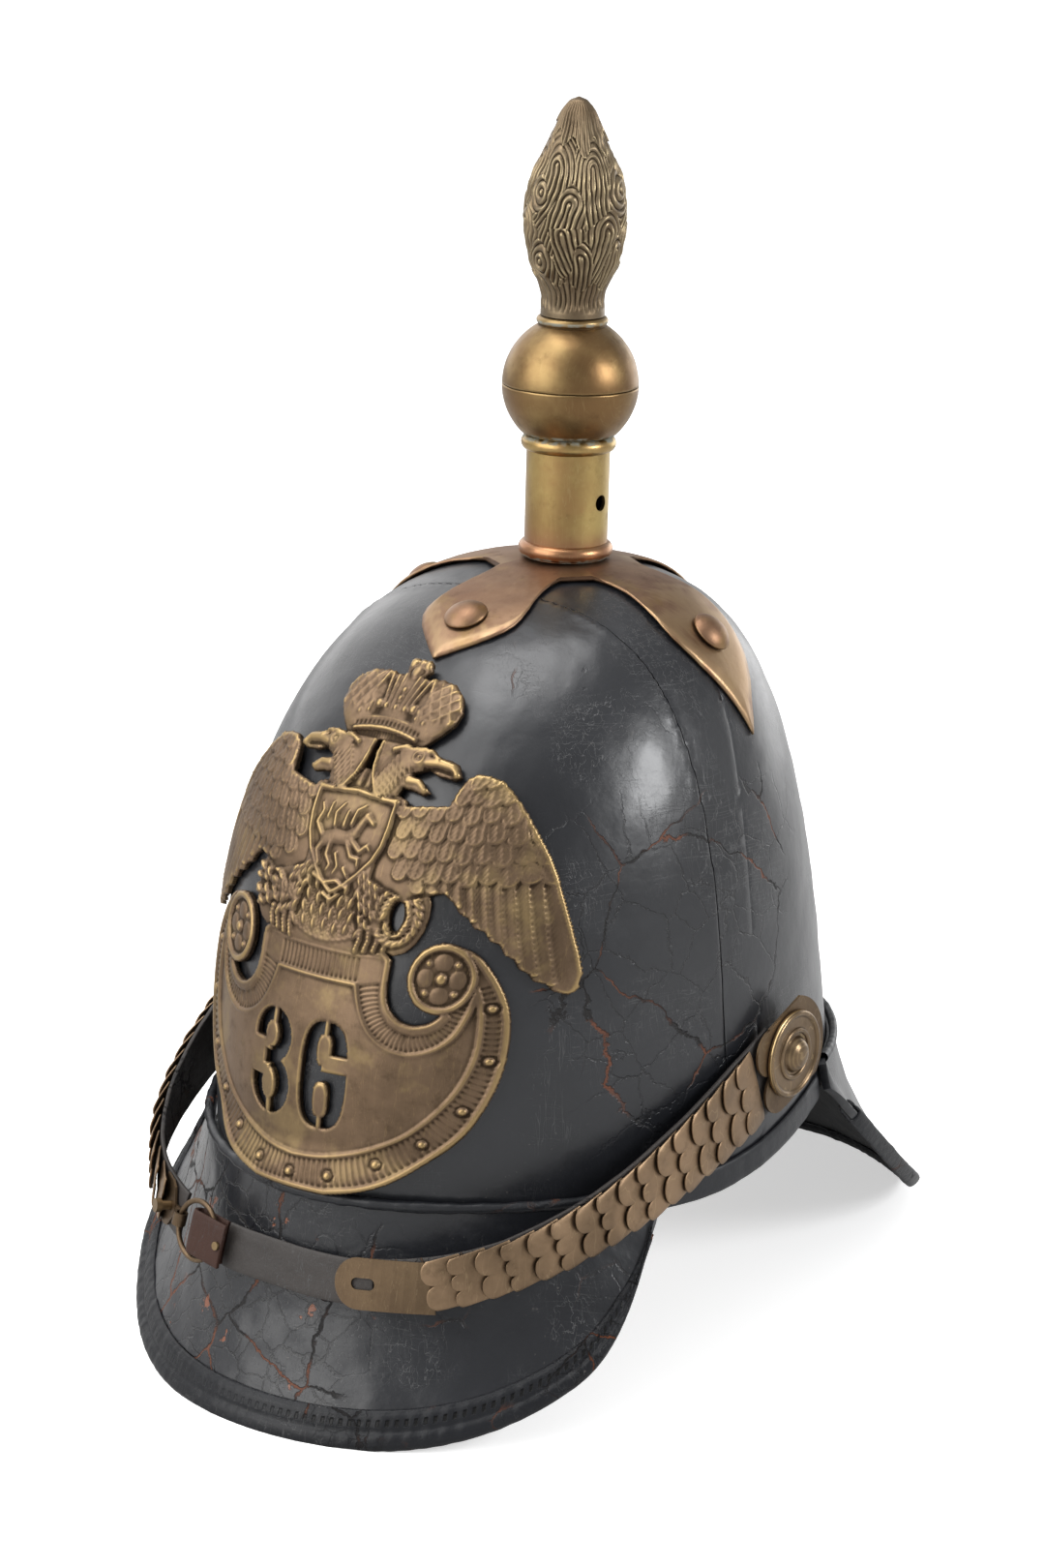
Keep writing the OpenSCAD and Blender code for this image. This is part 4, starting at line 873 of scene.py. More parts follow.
def heads_relief(r, side, d_head):
    """One of the two heads, its neck with rows of small feathers, and its beak and eye."""
    inside = d_head < 0
    before = r.h.copy()
    r.h = np.where(inside, 0.5 + bulge(d_head, 2.4, 0.8), r.h)
    r.form(sided([(6.0, 182), (7.0, 187), (8.4, 191), (11.4, 194.4)], side), (5.4, 3.8), 0.9, 0.9)
    for i in range(11):
        k = i / 10
        for j in range(3):
            x, z = mix(4.0, 10.6, k ** 1.4) + 1.9 * j, mix(183.5, 195.5, k) - 1.1 * j
            if x < 14:
                stroke = [(x - 0.5, z + 1.0), (x - 0.3, z), (x + 0.5, z - 0.9)]
                r.form(sided(stroke, side), (0.45, 0.3), 1.75, 0.45)
    for points, radii, rise, high in (
            ([(11.6, 194.4), (16.6, 194.5)], (2.9, 2.1), 1.5, 0.8),
            ([(6.5, 195.6), (10.5, 197), (15, 196.9), (19.2, 196.4), (21.2, 195.0)], (0.6, 0.5), 2.1,
             0.55),
            ([(18.0, 194.0), (22, 194.2), (25.6, 193.6), (27.8, 191.6)], (1.3, 0.75), 1.3, 1.0),
            ([(14.2, 189.2), (17.6, 189.0), (20.4, 187.0)], (1.2, 0.6), 1.1, 0.8),
            ([(15.5, 191.2), (19, 191.6), (21.8, 191.5)], (0.6, 0.45), 0.9, 0.6)):
        r.form(sided(points, side), radii, rise, high)
    r.groove(sided([(17.5, 192.6), (21.5, 192.6), (26, 191.8)], side), 0.5, 0.9)
    eye = np.hypot(r.x - side * 15.2, (r.z - 194.7) * 1.15)
    r.h += ridge(eye - 1.5, 0.8, 0.4) + bulge(eye - 0.6, 0.6, 0.5) - 0.5 * bell(eye - 0.95, 0.25)
    r.h = np.where(inside, r.h, before)


def crown_relief(r, d_crown):
    x, z, ax = r.x, r.z, np.abs(r.x)
    inside = d_crown < 0
    before = r.h.copy()
    lobes = np.maximum(bulge(np.hypot((ax - 13.2) / 1.05, z - 206.4) - 7.2, 6, 1.5),
                       bulge(np.hypot(ax / 0.85, z - 207) - 7.4, 5, 0.9))
    r.h = np.where(inside, 0.45 + lobes, r.h)
    rising, falling = ax * 0.8 + (z - 200) * 0.5, ax * 0.55 - (z - 200) * 0.8
    net = np.maximum(np.cos(TAU * rising / 2.5), np.cos(TAU * falling / 2.5))
    r.h += np.where(inside & (ax > 9.4) & (z > 203.6), 0.5 * ease((net - 0.6) / 0.35), 0)
    for s in (1, -1):
        for k in range(3):
            fold_line = [(1.6 + 1.5 * k, 205.5), (2.1 + 1.9 * k, 209.5), (2.6 + 2.3 * k, 213.2)]
            r.form(sided(fold_line, s), (0.55, 0.45), 1.25, 0.6)
        r.form(sided([(8.6, 203.5), (9.6, 208), (8.2, 213)], s), (0.6, 0.5), 1.6, 0.55, 1.0, 0.16, 1.4)
        for bx, bz, size in ((11.2, 205.8, 1.35), (8.6, 205.2, 1.0), (6.2, 205.6, 1.15),
                             (3.4, 205.3, 0.85), (11.6, 202.9, 0.95), (14.2, 203.8, 0.8)):
            r.bead(s * bx, bz, size, 1.5, 0.8)
    for bz in (205.4, 207.6, 209.6):
        r.bead(0, bz, 0.85, 1.4, 0.7)
    low = 200.2 - 0.012 * x ** 2
    band = (ax < 11.5) & inside
    r.h = np.where(band & (z < low + 2.6), 0.9 + 0.25 * np.cos(TAU * x / 1.5), r.h)
    for shift, high in ((0.0, 1.1), (2.5, 0.8)):
        r.h = np.where(band, np.maximum(r.h, 0.8 + ridge(z - low - shift, 0.95, high)), r.h)
    r.h = np.where(band & (z < low - 0.6), 0.35 + 0.16 * np.cos(TAU * x / 0.95), r.h)
    for bx, bz, size in ((0.3, 214.3, 1.7), (-2.3, 216.3, 1.5), (2.9, 216.4, 1.5), (0.4, 217.0, 1.3)):
        r.bead(bx, bz, size, 1.2, 0.9)
    r.h = np.where(inside, r.h, before)


def oval(x, z, centre, half, scale=None):
    """Signed distance, near its edge, to an ellipse."""
    return (np.hypot((x - centre[0]) / half[0], (z - centre[1]) / half[1]) - 1) * (scale or half[0])


def cushion(x, z, centre, half):
    """Signed distance, near its edge, to an ellipse with blunt corners."""
    sides = np.abs((x - centre[0]) / half[0]) ** 3 + np.abs((z - centre[1]) / half[1]) ** 3
    return (sides ** (1 / 3) - 1) * half[0]


def digit_three(x, z):
    """Signed distance, near its edge, to a bold stencilled 3."""
    top = np.maximum(oval(x, z, (-12.4, 112.4), (7.4, 8.1)), -oval(x, z, (-12.9, 112.6), (2.7, 4.0)))
    low = np.maximum(oval(x, z, (-12.2, 98.0), (7.9, 9.0)), -oval(x, z, (-12.7, 97.7), (2.9, 4.9)))
    top = np.maximum.reduce([top, np.minimum(110.9 - z, -12.6 - x), 104.9 - z])
    low = np.maximum.reduce([low, np.minimum(z - 99.4, -12.6 - x), z - 106.4])
    bar = np.maximum(np.abs(x + 11.6) - 3.2, np.abs(z - 105.6) - 2.0)
    bridge = 0.85 - np.abs(x + 12.4)
    return np.maximum(np.minimum.reduce([top, low, bar]), np.where((z > 109) | (z < 101), bridge, -9))


def digit_six(x, z):
    """Signed distance, near its edge, to a bold stencilled 6."""
    shape = np.maximum.reduce([cushion(x, z, (7.2, 104.7), (7.4, 15.8)),
                               -cushion(x, z, (7.1, 97.4), (2.5, 5.4)),
                               -cushion(x, z, (7.1, 112.2), (2.5, 4.8)),
                               -np.maximum(6.6 - x, np.abs(z - 108.6) - 2.6)])
    bridge = 0.85 - np.abs(x - 7.1)
    return np.maximum(shape, np.where((z < 93) | (z > 115), bridge, -9))


def plate_outline(x, z):
    """Signed distances to the plate's edge and to its parts."""
    ax = np.abs(x)
    parts = {
        "shield": polygon(x, z, mirrored(rounded(SHIELD))),
        "volute": oval(ax, z, VOLUTE, (8.9, 10.3), 9.3),
        "wing": polygon(ax, z, WING),
        "body": polygon(x, z, mirrored(BODY)),
        "head": polygon(ax, z, HEAD),
        "crown": polygon(x, z, mirrored(CROWN)),
    }
    edge = np.minimum.reduce(list(parts.values()))
    holes = np.minimum.reduce([oval(x, z, WREATH, WREATH_EYE), digit_three(x, z), digit_six(x, z)])
    return np.maximum(edge, -holes), parts


def shield_relief(r, parts):
    x, z, ax = r.x, r.z, np.abs(r.x)
    d = parts["shield"]
    d_in, run_in = line(ax, z, rounded(FIELD_EDGE, 2))
    d_scroll, run_scroll = line(ax, z, rounded(SCROLL_EDGE, 2))
    d_gap, _ = line(ax, z, GAP_EDGE)
    field = polygon(ax, z, [(-1, 79.9)] + FIELD_EDGE[1:] + SCROLL_EDGE[::-1] + [(-1, 132.7)]) < 0
    slope = 1 - np.clip(np.hypot(ax / 47, (z - 107) / 29), 0, 1) ** 2
    scroll_hatch = 0.3 * np.cos(TAU * run_scroll / 1.55)
    rim_hatch = 0.3 * np.cos(TAU * run_in / 1.6)
    neck = (z > 133) & (z < 142) & (ax < 22)
    inner = polygon(ax, z, SCROLL_EDGE + [(46, 147), (20.5, 147), (14, 141)]) < 0
    h = np.where(inner, 0.32 + scroll_hatch, 0.32 + rim_hatch)
    h = np.where(neck & ~inner, 0.32 + 0.3 * np.cos(TAU * x / 1.6), h)
    h = np.where(field, 0.3 + slope + 0.06 * waves(stack(x, z, 0 * x), 9, 2), h)
    h = np.maximum(h, 0.25 + ridge(d + 1.05, 2.1, 0.95))
    h = np.where(z < 136, np.maximum(h, 0.25 + ridge(d_in, 1.9, 0.95)), h)
    h = np.maximum(h, 0.25 + ridge(d_scroll, 1.9, 0.95))
    h = np.where(z < 143, np.maximum(h, 0.2 + ridge(d_gap, 2.3, 0.95)), h)
    top, _ = line(ax, z, [(-1, 132.8), (13.6, 132.8), (14.3, 132.2)])
    h = np.maximum(h, 0.25 + ridge(top, 1.6, 1.0))
    top, _ = line(ax, z, [(-1, 140.9), (11, 140.9), (20.5, 141.4)])
    r.h = np.maximum(h, 0.15 + ridge(top, 1.3, 0.6))
    for bx, bz in ((0, 74.6), (12, 75.7), (25, 80.8), (36.7, 87.8), (45.8, 98.4), (50.9, 113.6),
                   (50.3, 129.2)):
        bead = np.hypot(ax - bx, z - bz)
        r.h = np.where(bead < 2.0, np.maximum(0.05, bulge(bead - 1.35, 1.35, 1.35)), r.h)
    px, pz = (ax - VOLUTE[0]) / 0.93, (z - VOLUTE[1]) / 1.08
    away, turn = np.hypot(px, pz), np.arctan2(pz, px)
    scroll = np.where(away < 7.5, 0.3, 0.3 + ridge(away - 8.45, 2.1, 1.15))
    for i in range(4):
        a = i * TAU / 4
        petal = np.hypot((away * np.cos(turn - a) - 4.5) / 1.05, away * np.sin(turn - a) / 1.1) - 2.25
        scroll = np.where(petal < 0, 0.35 + bulge(petal, 1.8, 0.6), scroll)
        dot = np.hypot(away * np.cos(turn - a + TAU / 8) - 5.6, away * np.sin(turn - a + TAU / 8)) - 0.95
        scroll = np.where(dot < 0, 0.35 + bulge(dot, 0.9, 0.85), scroll)
    scroll = np.where(away < 1.6, 0.5 + bulge(away - 1.6, 1.4, 1.1), scroll)
    r.h = np.where(parts["volute"] < 0, scroll, r.h)


def eagle_relief(r, parts):
    """Body, legs, tail, wreath and the bundle of bolts."""
    d_body = parts["body"]
    inside = (d_body < 0) & (r.z > 141.3)
    before = r.h.copy()
    r.h = np.where(inside, 0.4 + bulge(d_body, 3, 0.4), r.h)
    for i in range(-5, 6):
        tip = (i * 2.1, 142.6 + 0.1 * i * i)
        r.feather((i * 0.9, 158), tip, 1.45, 0.5, 0.3, 1.25, 0.3, 0.2)
    rows = (147.0, 7, 11.5), (150.6, 8, 12), (154.2, 7, 11.5), (158, 8, 12.5)
    for row, (low, count, span) in enumerate(rows):
        for i in range(count):
            x = mix(-span, span, i / (count - 1))
            r.drop(x, low + (0.5 if i % 2 else 0), 1.57 - 0.035 * x, 4.4, 0.85, 1.0 + 0.05 * row, 0.85)
    for side in (1, -1):
        r.form([(side * 9.5, 164), (side * 14, 156.5), (side * 17, 149)], (5.2, 2.2), 0.8, 0.8)
        for row in range(5):
            for i in range(4):
                x = side * (8.2 + 2.1 * i + 0.9 * row)
                z = 163.5 - 3.2 * row - 1.1 * i + (0.6 if row % 2 else 0)
                if not (x > 15.5 and z < 162):
                    r.drop(x, z, 1.57 + side * 0.45, 3.8, 0.75, 1.5, 0.85)
        for k in range(4):
            a = (side * (12.6 + 2.7 * k), 149.0 - 0.3 * k)
            b = (side * (11.8 + 2.8 * k), 141.9 + 0.5 * k)
            bend = (mix(a[0], b[0], 0.5) + side * 0.6, mix(a[1], b[1], 0.5))
            r.form([a, bend, b], (1.15, 0.7), 0.9, 0.9, 0.9, 0.22, 1.1)
    ends = (-32.5, 154.2), (-31, 150.2), (-28.6, 147.2), (-31.4, 157.6), (-27, 160.8)
    for i, end in enumerate(ends):
        start = (-12.5, 154.5 - 0.8 * i)
        bend = (mix(start[0], end[0], 0.5), mix(start[1], end[1], 0.5) + 0.9 * (-1) ** i)
        r.form([start, bend, end], (1.25, 0.8), 0.9, 0.9, 0.9, 0.15, 1.5)
        for k in range(5):
            x, z = mix(start[0], end[0], k / 5 + 0.1), mix(start[1], end[1], k / 5 + 0.1)
            r.drop(x, z + 0.6, 2.5 - 0.4 * (k % 2), 3.6, 0.7, 1.6, 0.7)
    for i in range(19):
        a = -2.25 + i * 0.305
        for ring, tilt in ((6.9, 0.55), (4.3, -0.55)):
            x, z = WREATH[0] + ring * 0.88 * np.cos(a), WREATH[1] + 1.12 * ring * np.sin(a)
            r.drop(x, z, a + np.pi / 2 + tilt, 4.3, 1.0, 1.1, 1.1)
    hole = np.hypot((r.x - WREATH[0]) / WREATH_EYE[0], (r.z - WREATH[1]) / WREATH_EYE[1])
    r.h = np.where(hole < 1.25, np.minimum(r.h, 0.5), r.h)
    for row in range(5):
        for i in range(5):
            for side in (1, -1):
                x, z = side * (15.6 + 2.1 * i), 182.0 - 4.3 * row - 0.8 * i
                if abs(x) < 23:
                    r.feather((x - side * 1.4, z + 5.4), (x, z), 1.7, 0.75, 0.4, 1.1, 0.3)
    r.h = np.where(inside, r.h, before)


def escutcheon_relief(r):
    """The small shield on the breast with a generic prancing animal on it."""
    d = polygon(r.x, r.z, ARMS)
    r.h = np.where(d < 0, 1.15 + 0.2 * bulge(d + 1.6, 6, 1.0), r.h)
    strokes = (
        ([(-6.4, 170.0), (-3.4, 171.2), (0.8, 171.4), (3.6, 173.4)], (2.1, 1.6)),
        ([(3.2, 172.8), (5.2, 176.4), (6.2, 178.2)], (1.5, 1.0)),
        ([(6.0, 178.0), (8.8, 176.2)], (1.1, 0.7)),
        ([(-6.8, 169.6), (-8.6, 166.6), (-6.8, 163.4), (-8.0, 161.9)], (1.2, 0.6)),
        ([(-4.4, 169.6), (-4.6, 166.0), (-2.4, 163.6), (-3.4, 162.0)], (1.1, 0.55)),
        ([(3.0, 171), (6.4, 168.6), (8.4, 170.6), (9.6, 169.4)], (1.0, 0.5)),
        ([(1.6, 170.2), (4.0, 166.8), (6.6, 166.6), (6.8, 164.8)], (1.0, 0.5)),
        ([(-8.2, 171.0), (-10.8, 173.6), (-9.4, 177.0), (-10.6, 178.8)], (0.9, 0.5)),
        ([(-7.4, 160.2), (-3.0, 158.6), (1.0, 159.8), (5.0, 158.4)], (0.8, 0.5)),
        ([(1.6, 175.2), (2.4, 179.0), (4.8, 180.6)], (0.8, 0.4)),
        ([(-1.0, 174.4), (-0.6, 178.2)], (0.9, 0.5)),
        ([(-4.2, 174.0), (-4.8, 177.2), (-2.6, 180.0)], (0.8, 0.4)),
        ([(-7.4, 175.6), (-6.8, 179.6)], (0.6, 0.4)),
        ([(-1.4, 166.8), (0.4, 163.6), (-0.8, 161.4)], (0.7, 0.4)),
        ([(2.6, 163.4), (4.4, 161.4)], (0.8, 0.5)),
        ([(-2.6, 155.8), (0.6, 154.4), (2.8, 156.2)], (0.7, 0.4)),
    )
    for points, radii in strokes:
        r.form(points, radii, 1.4, 0.9)
    r.h = np.maximum(r.h, np.where(d < 0.3, 1.15 + ridge(d + 0.7, 1.4, 1.1), 0))
    for side in (1, -1):
        chain = [(13.6, 182.9), (9.4, 182.9), (5.6, 184.4), (3.2, 187.6), (1.9, 191.6), (1.2, 196.4),
                 (1.1, 198.4)]
        r.form(sided(chain, side), (0.75, 0.6), 1.5, 0.9)
    r.groove([(0, 186), (0, 197.6)], 0.7, 0.8)


def plate_relief(x, z, cell, parts):
    r = Relief(x, z, cell)
    shield_relief(r, parts)
    eagle_relief(r, parts)
    for side in (1, -1):
        own = side * x > 0
        wing_relief(r, side, np.where((z > 130) & own, parts["wing"], 9))
        heads_relief(r, side, np.where(own, parts["head"], 9))
    escutcheon_relief(r)
    crown_relief(r, parts["crown"])
    return r.h


def plate_back(x, z):
    """The plate's back, which follows the skull and stands off at the flange and at the petals."""
    p = stack(x, end_y(x, z), z)
    lift = 0.6 + 3.3 * ease((85.5 - z) / 14) + 0.8 * ease((z - 166) / 14)
    return p + lift[:, None] * skin_normal(p)


PLATE_BOX = -68.0, 68.0, 68.5, 218.5
PLATE_T, PLATE_LIP = 1.1, 0.95


def front_plate(depth, cell):
    """The stamped plate: a fine height field cut to its outline, with its edges turned back."""
    low_x, high_x, low_z, high_z = PLATE_BOX
    nu, nv = int((high_x - low_x) / cell), int((high_z - low_z) / cell)
    xs, zs = np.meshgrid(np.linspace(low_x, high_x, nu + 1), np.linspace(low_z, high_z, nv + 1),
                         indexing="ij")
    edge, parts = plate_outline(xs, zs)
    height = np.maximum(plate_relief(xs, zs, cell, parts), 0) * depth
    height = blur(height, 0.2 / cell) * ease(-edge / 0.5) ** 0.5
    stand = (height - blur(height, 1.0 / cell)) / 0.5
    gx, gz = np.gradient(edge, cell, cell)
    size = np.maximum(np.hypot(gx, gz), 0.3)

    def at(u, v):
        return np.rint(u * nu).astype(int), np.rint(v * nv).astype(int)

    def surface(u, v):
        i, j = at(u, v)
        e = edge[i, j]
        pull = np.where(np.abs(e) < cell * 1.02, e, 0)
        x = xs[i, j] - pull * gx[i, j] / size[i, j] ** 2
        z = zs[i, j] - pull * gz[i, j] / size[i, j] ** 2
        back = plate_back(x, z)
        return back + (PLATE_T + height[i, j])[:, None] * skin_normal(back)

    bm = grid_bmesh(surface, nu, nv, keep=lambda u, v: edge[at(u, v)] < cell * 0.75)
    bmesh.ops.delete(bm, geom=[v for v in bm.verts if not v.link_faces], context="VERTS")
    uv = bm.loops.layers.uv.active
    wear_layer = bm.verts.layers.float.new("wear")
    for vert in bm.verts:
        place = vert.link_loops[0][uv].uv
        i, j = int(round(place[0] * nu)), int(round(place[1] * nv))
        vert[wear_layer] = float(np.clip(stand[i, j], -1, 1))
    rim_edges = [e for e in bm.edges if e.is_boundary]
    turned_back = bmesh.ops.extrude_edge_only(bm, edges=rim_edges)["geom"]
    lip = [v for v in turned_back if isinstance(v, bmesh.types.BMVert)]
    points = np.array([v.co[:] for v in lip]) * 1000 + (0, MID_Y, 0)
    inward = skin_normal(points) * (PLATE_LIP * 0.001)
    for vert, shift in zip(lip, inward):
        vert.co -= Vector(shift)
        vert[wear_layer] = -0.5
    return finish_piece("stamped_front_plate", bm, "helmet", "plate brass",
                        ["front_plate"])


# Petal base and finial

PETAL = [(20, 12.7), (26, 12.5), (32, 13.2), (38, 14.5), (43, 15.8), (48, 16.6), (52, 16.5), (56, 15.2),
         (60, 12.6), (63, 9.8), (66, 6.6), (69, 3.2), (71.5, 0)]
PETAL_SHEET = 0.8
SIDE_PETAL = 0.925    # length of the side petals, as a share of the front one's
RIVETS = (54, 0), (0, -49.95), (0, 49.95), (-54, 0)
RIVET = [(0.01, -0.1), (6.7, 0.0), (6.9, 0.25), (6.6, 0.75), (5.6, 1.7), (4.2, 2.55), (2.6, 3.15),
         (1.2, 3.4), (0.01, 3.45)]


def petal_base(thickness):
    petal, count = np.array(PETAL, float), len(PETAL)
    out, half = (np.interp(np.linspace(0, count - 1, 46), np.arange(count), petal[:, k]) for k in (0, 1))
    xs, ys = np.concatenate([out, out[-2:0:-1]]), np.concatenate([-half, half[-2:0:-1]])
    outline = []
    for share, c, s in ((1.0, 1, 0), (SIDE_PETAL, 0, 1), (1.0, -1, 0), (SIDE_PETAL, 0, -1)):
        outline.append(np.stack([share * xs * c - ys * s, share * xs * s + ys * c], axis=1))
    outline = np.concatenate(outline + [outline[0][:1]])

    def surface(u, v):
        at, places = u * (len(outline) - 1), np.arange(len(outline))
        e = stack(np.interp(at, places, outline[:, 0]), np.interp(at, places, outline[:, 1]))
        q = mix(7 * unit(e), e, v[:, None])
        p = on_crown(q[:, 0], q[:, 1])
        r = np.linalg.norm(q, axis=1)
        lift = 1.75 + 0.6 * ease((26 - r) / 12) - 0.55 * ease((v - 0.93) / 0.07)
        lift += 0.16 * waves(p, 16, 12) * ease((r - 18) / 12)
        lift += 0.35 * bell(np.abs(e[:, 0]) - np.abs(e[:, 1]), 3.0) * ease((30 - r) / 10)
        return p + lift[:, None] * skin_normal(p)
    bm = grid_bmesh(surface, 360, 30, loop=True, flip=True)
    piece = finish_piece("petal_base_sheet", bm, "helmet", "petal brass", ["petal_base"])
    return solid(wear(piece, 4, 8.0), thickness)


def petal_rivets():
    bm = bmesh.new()
    for x, y in RIVETS:
        p = on_crown(np.array([float(x)]), np.array([float(y)]))
        n = skin_normal(p)[0]
        right = unit(np.cross((0.3, 1, 0.1), n))
        form = lathe(RIVET, p[0] + 2.15 * n, (right, np.cross(n, right), n))
        part = grid_bmesh(form, 48, 26, loop=True)
        bmesh.ops.recalc_face_normals(part, faces=part.faces)
        join(bm, part)
    piece = finish_piece("domed_rivets", bm, "helmet", "petal brass", ["petal_rivets"])
    return wear(piece, 3, 3.0)


FLAME = [(0, 10.2), (2, 9.9), (6.5, 9.5), (9.8, 10.7), (15, 13), (20, 14.2), (25.6, 15.2), (33, 15.3),
         (41.4, 14.1), (51.9, 9.5), (62, 5.2), (65.4, 2.6), (66.3, 0.3)]


def smooth_table(points, step=0.25, width=2.0):
    """A table of (height, radius) eased over its corners."""
    points = np.array(points, float)
    h = np.arange(points[0, 0], points[-1, 0] + step, step)
    r = np.interp(h, points[:, 0], points[:, 1])
    cells = int(width / step)
    wide = np.pad(r, cells, mode="reflect", reflect_type="odd")
    soft = np.convolve(wide, np.ones(2 * cells + 1) / (2 * cells + 1), mode="valid")
    k = ease((h - 1) / 3) * ease((points[-1, 0] - 3 - h) / 3)
    return h, mix(r, soft, k)


def tufts(a, h):
    """Phase of the chased strands at angle a and height h, and how far each point is from its lock.

    The locks are arched in the middle of the flame, and straight at both ends.
    """
    rng = np.random.default_rng(5)
    girth = TAU * 15
    x = a / TAU * girth
    best, phase = np.full(a.shape, 1e9), x * 0
    for row, height in enumerate((19, 28, 37, 46)):
        for i in range(7):
            cx = (i + 0.5 * (row % 2) + rng.uniform(-0.25, 0.25)) * girth / 7
            cz = height + rng.uniform(-3, 3)
            lean = rng.uniform(-0.35, 0.35)
            bow = rng.choice((-1, 1)) * rng.uniform(0.012, 0.03)
            pitch = rng.uniform(1.65, 2.0)
            swirl = rng.random() < 0.22
            dz = h - cz
            dx = (x - cx + lean * dz + bow * dz ** 2 + girth / 2) % girth - girth / 2
            arch = np.hypot(dx, 0.75 * dz)
            lock = arch if swirl else np.where(dz > 0, arch, np.abs(dx))
            far = np.hypot(dx, np.where(dz > 0, dz, dz * (0.8 if swirl else 0.34))) / 6.2
            nearer = far < best
            best = np.where(nearer, far, best)
            phase = np.where(nearer, lock / pitch + 0.5, phase)
    ends = x / girth * 34 + 0.5 * waves(stack(15 * np.cos(a), 15 * np.sin(a), h), 22, 71, 1)
    ragged = 2.5 * waves(stack(15 * np.cos(a), 15 * np.sin(a), 0 * h), 8, 77, 1)
    straight = (h < 11 + ragged) | (h > 54 + 2 * ragged)
    return np.where(straight, ends, phase), np.where(straight, 0, best)


def flame(groove):
    """The flame: a turned bulb chased with curved tufts of strands, like hair."""
    table_h, table_r = smooth_table(FLAME)

    def surface(u, v):
        h = FLAME_H * (1 - (1 - v) ** 1.12)
        a = u * TAU
        r = np.interp(h, table_h, table_r)
        phase, edge = tufts(a, h)
        p = stack(r * np.cos(a), r * np.sin(a), h)
        phase = phase + 0.1 * waves(p, 7, 91, 1)
        strand = np.abs(np.sin(np.pi * phase)) ** 0.75 * (1 + 0.2 * waves(p, 4, 93, 1)) - 0.62
        size = np.clip(r / 13, 0.35, 1) * ease((h - 1.5) / 3) * ease((FLAME_H - h) / 3)
        puff = 0.6 * (1 - np.clip(edge, 0, 1.4)) * ease((h - 10) / 6)
        r = r + groove * size * (strand + puff) - 0.1
        r = np.where(h < 1.2, np.minimum(r, 9.9), r)
        return stack(r * np.cos(a), r * np.sin(a), FLAME_FOOT + h)
    bm = grid_bmesh(surface, 360, 270, loop=True)
    piece = finish_piece("chased_flame", bm, "finial", "flame brass", ["flame"])
    return wear(piece, 4, 5.0)


def turned(name, profile, centre, axes, body, material, replaces=(), steps=128, rows=90, gain=6.0,
           dents=0.0):
    """A turned brass piece, with soft dents."""
    form = lathe(profile, centre, axes)

    def surface(u, v):
        p = form(u, v)
        return p + (dents * waves(p, 11, 17))[:, None] * unit((p - centre) * (1, 1, 0.4))
    bm = grid_bmesh(surface, steps, rows, loop=True)
    bmesh.ops.recalc_face_normals(bm, faces=bm.faces)
    return wear(finish_piece(name, bm, body, material, replaces), 3, gain)


BALL_BORE = 3.4
NECK = (10.2, 0.1), (10.7, 0.5), (11.1, 1.1), (11.1, 1.7), (10.6, 2.4), (9.9, 2.8), (BALL_BORE, 2.8)


def ball():
    """The two spun halves of the ball, the upper one with the neck under the flame."""
    top = FLAME_FOOT - NECK_H
    low, high = np.arcsin((BALL_FOOT - BALL_Z) / BALL_R), np.arcsin((top - BALL_Z) / BALL_R)
    bowl = [(BALL_BORE, BALL_FOOT), (14.4, BALL_FOOT), (14.6, BALL_FOOT + 0.1)]
    bowl += [(BALL_R * np.cos(a), BALL_Z + BALL_R * np.sin(a) * 0.985)
             for a in np.linspace(low + 0.03, -0.006, 24)]
    bowl += [(20.95, BALL_Z - 0.05), (BALL_BORE, BALL_Z - 0.05)]
    cap = [(BALL_BORE, BALL_Z + 0.07), (21.0, BALL_Z + 0.07)]
    cap += [(21.15 * np.cos(a), BALL_Z + BALL_R * np.sin(a))
            for a in np.linspace(0.008, high - 0.02, 26)]
    cap += [(r, top + h) for r, h in NECK]
    for name, profile, node in (("ball_bowl", bowl, "ball_lower_half"),
                                ("ball_cap", cap, "ball_upper_half")):
        turned(name, profile, (0, 0, 0), np.eye(3), "finial", "ball brass", [node], dents=0.12)


# Chin strap

def loop_point(a):
    """The strap's loop between its pivots, from the middle at a = 0 to the left pivot."""
    reach = STRAP_REACH * np.cos(a) ** (2 / 2.7)
    return stack(PIVOT[0] * np.sin(a) ** (2 / 2.7), PIVOT[1] - reach * np.cos(STRAP_SLOPE),
                 PIVOT[2] - reach * np.sin(STRAP_SLOPE))


LOOP = loop_point(np.radians(np.linspace(0, 90, 61)))
LOOP_RUN = path_run(LOOP)
LOOP_L = LOOP_RUN[-1]
LEAF_START = LOOP_L - 17 - SEAT_GAP
BACKING_START, BACKING_END = {"left": 35.0, "right": FIRST_SCALE - 8}, LOOP_L - 6
SIDES = ("left", 1), ("right", -1)
WIDTHS = [29.6, 75, 106, 138, 170, LOOP_L], [15.5, 15.5, 18, 22.5, 26.5, 28]


def width_at(s):
    return np.interp(s, *WIDTHS)


def along(s):
    """The point on the loop at a distance from its middle, above 0 on the left."""
    place = stack(*(np.interp(np.abs(s), LOOP_RUN, LOOP[:, k]) for k in range(3)))
    return place * stack(np.sign(s) + (s == 0), 1, 1)


def strap_axes(s):
    """The strap's axes along, across and out."""
    t = unit(along(np.minimum(s + 4, LOOP_L)) - along(s - 4))
    lean = np.radians(14 * (1 - ease(np.abs(s) / 120)))
    h = unit(stack(t[..., 1], -t[..., 0], 0 * s))
    w = unit(np.cross(h + stack(0 * s, 0 * s, np.tan(lean)), t))
    return t, w, np.cross(t, w)


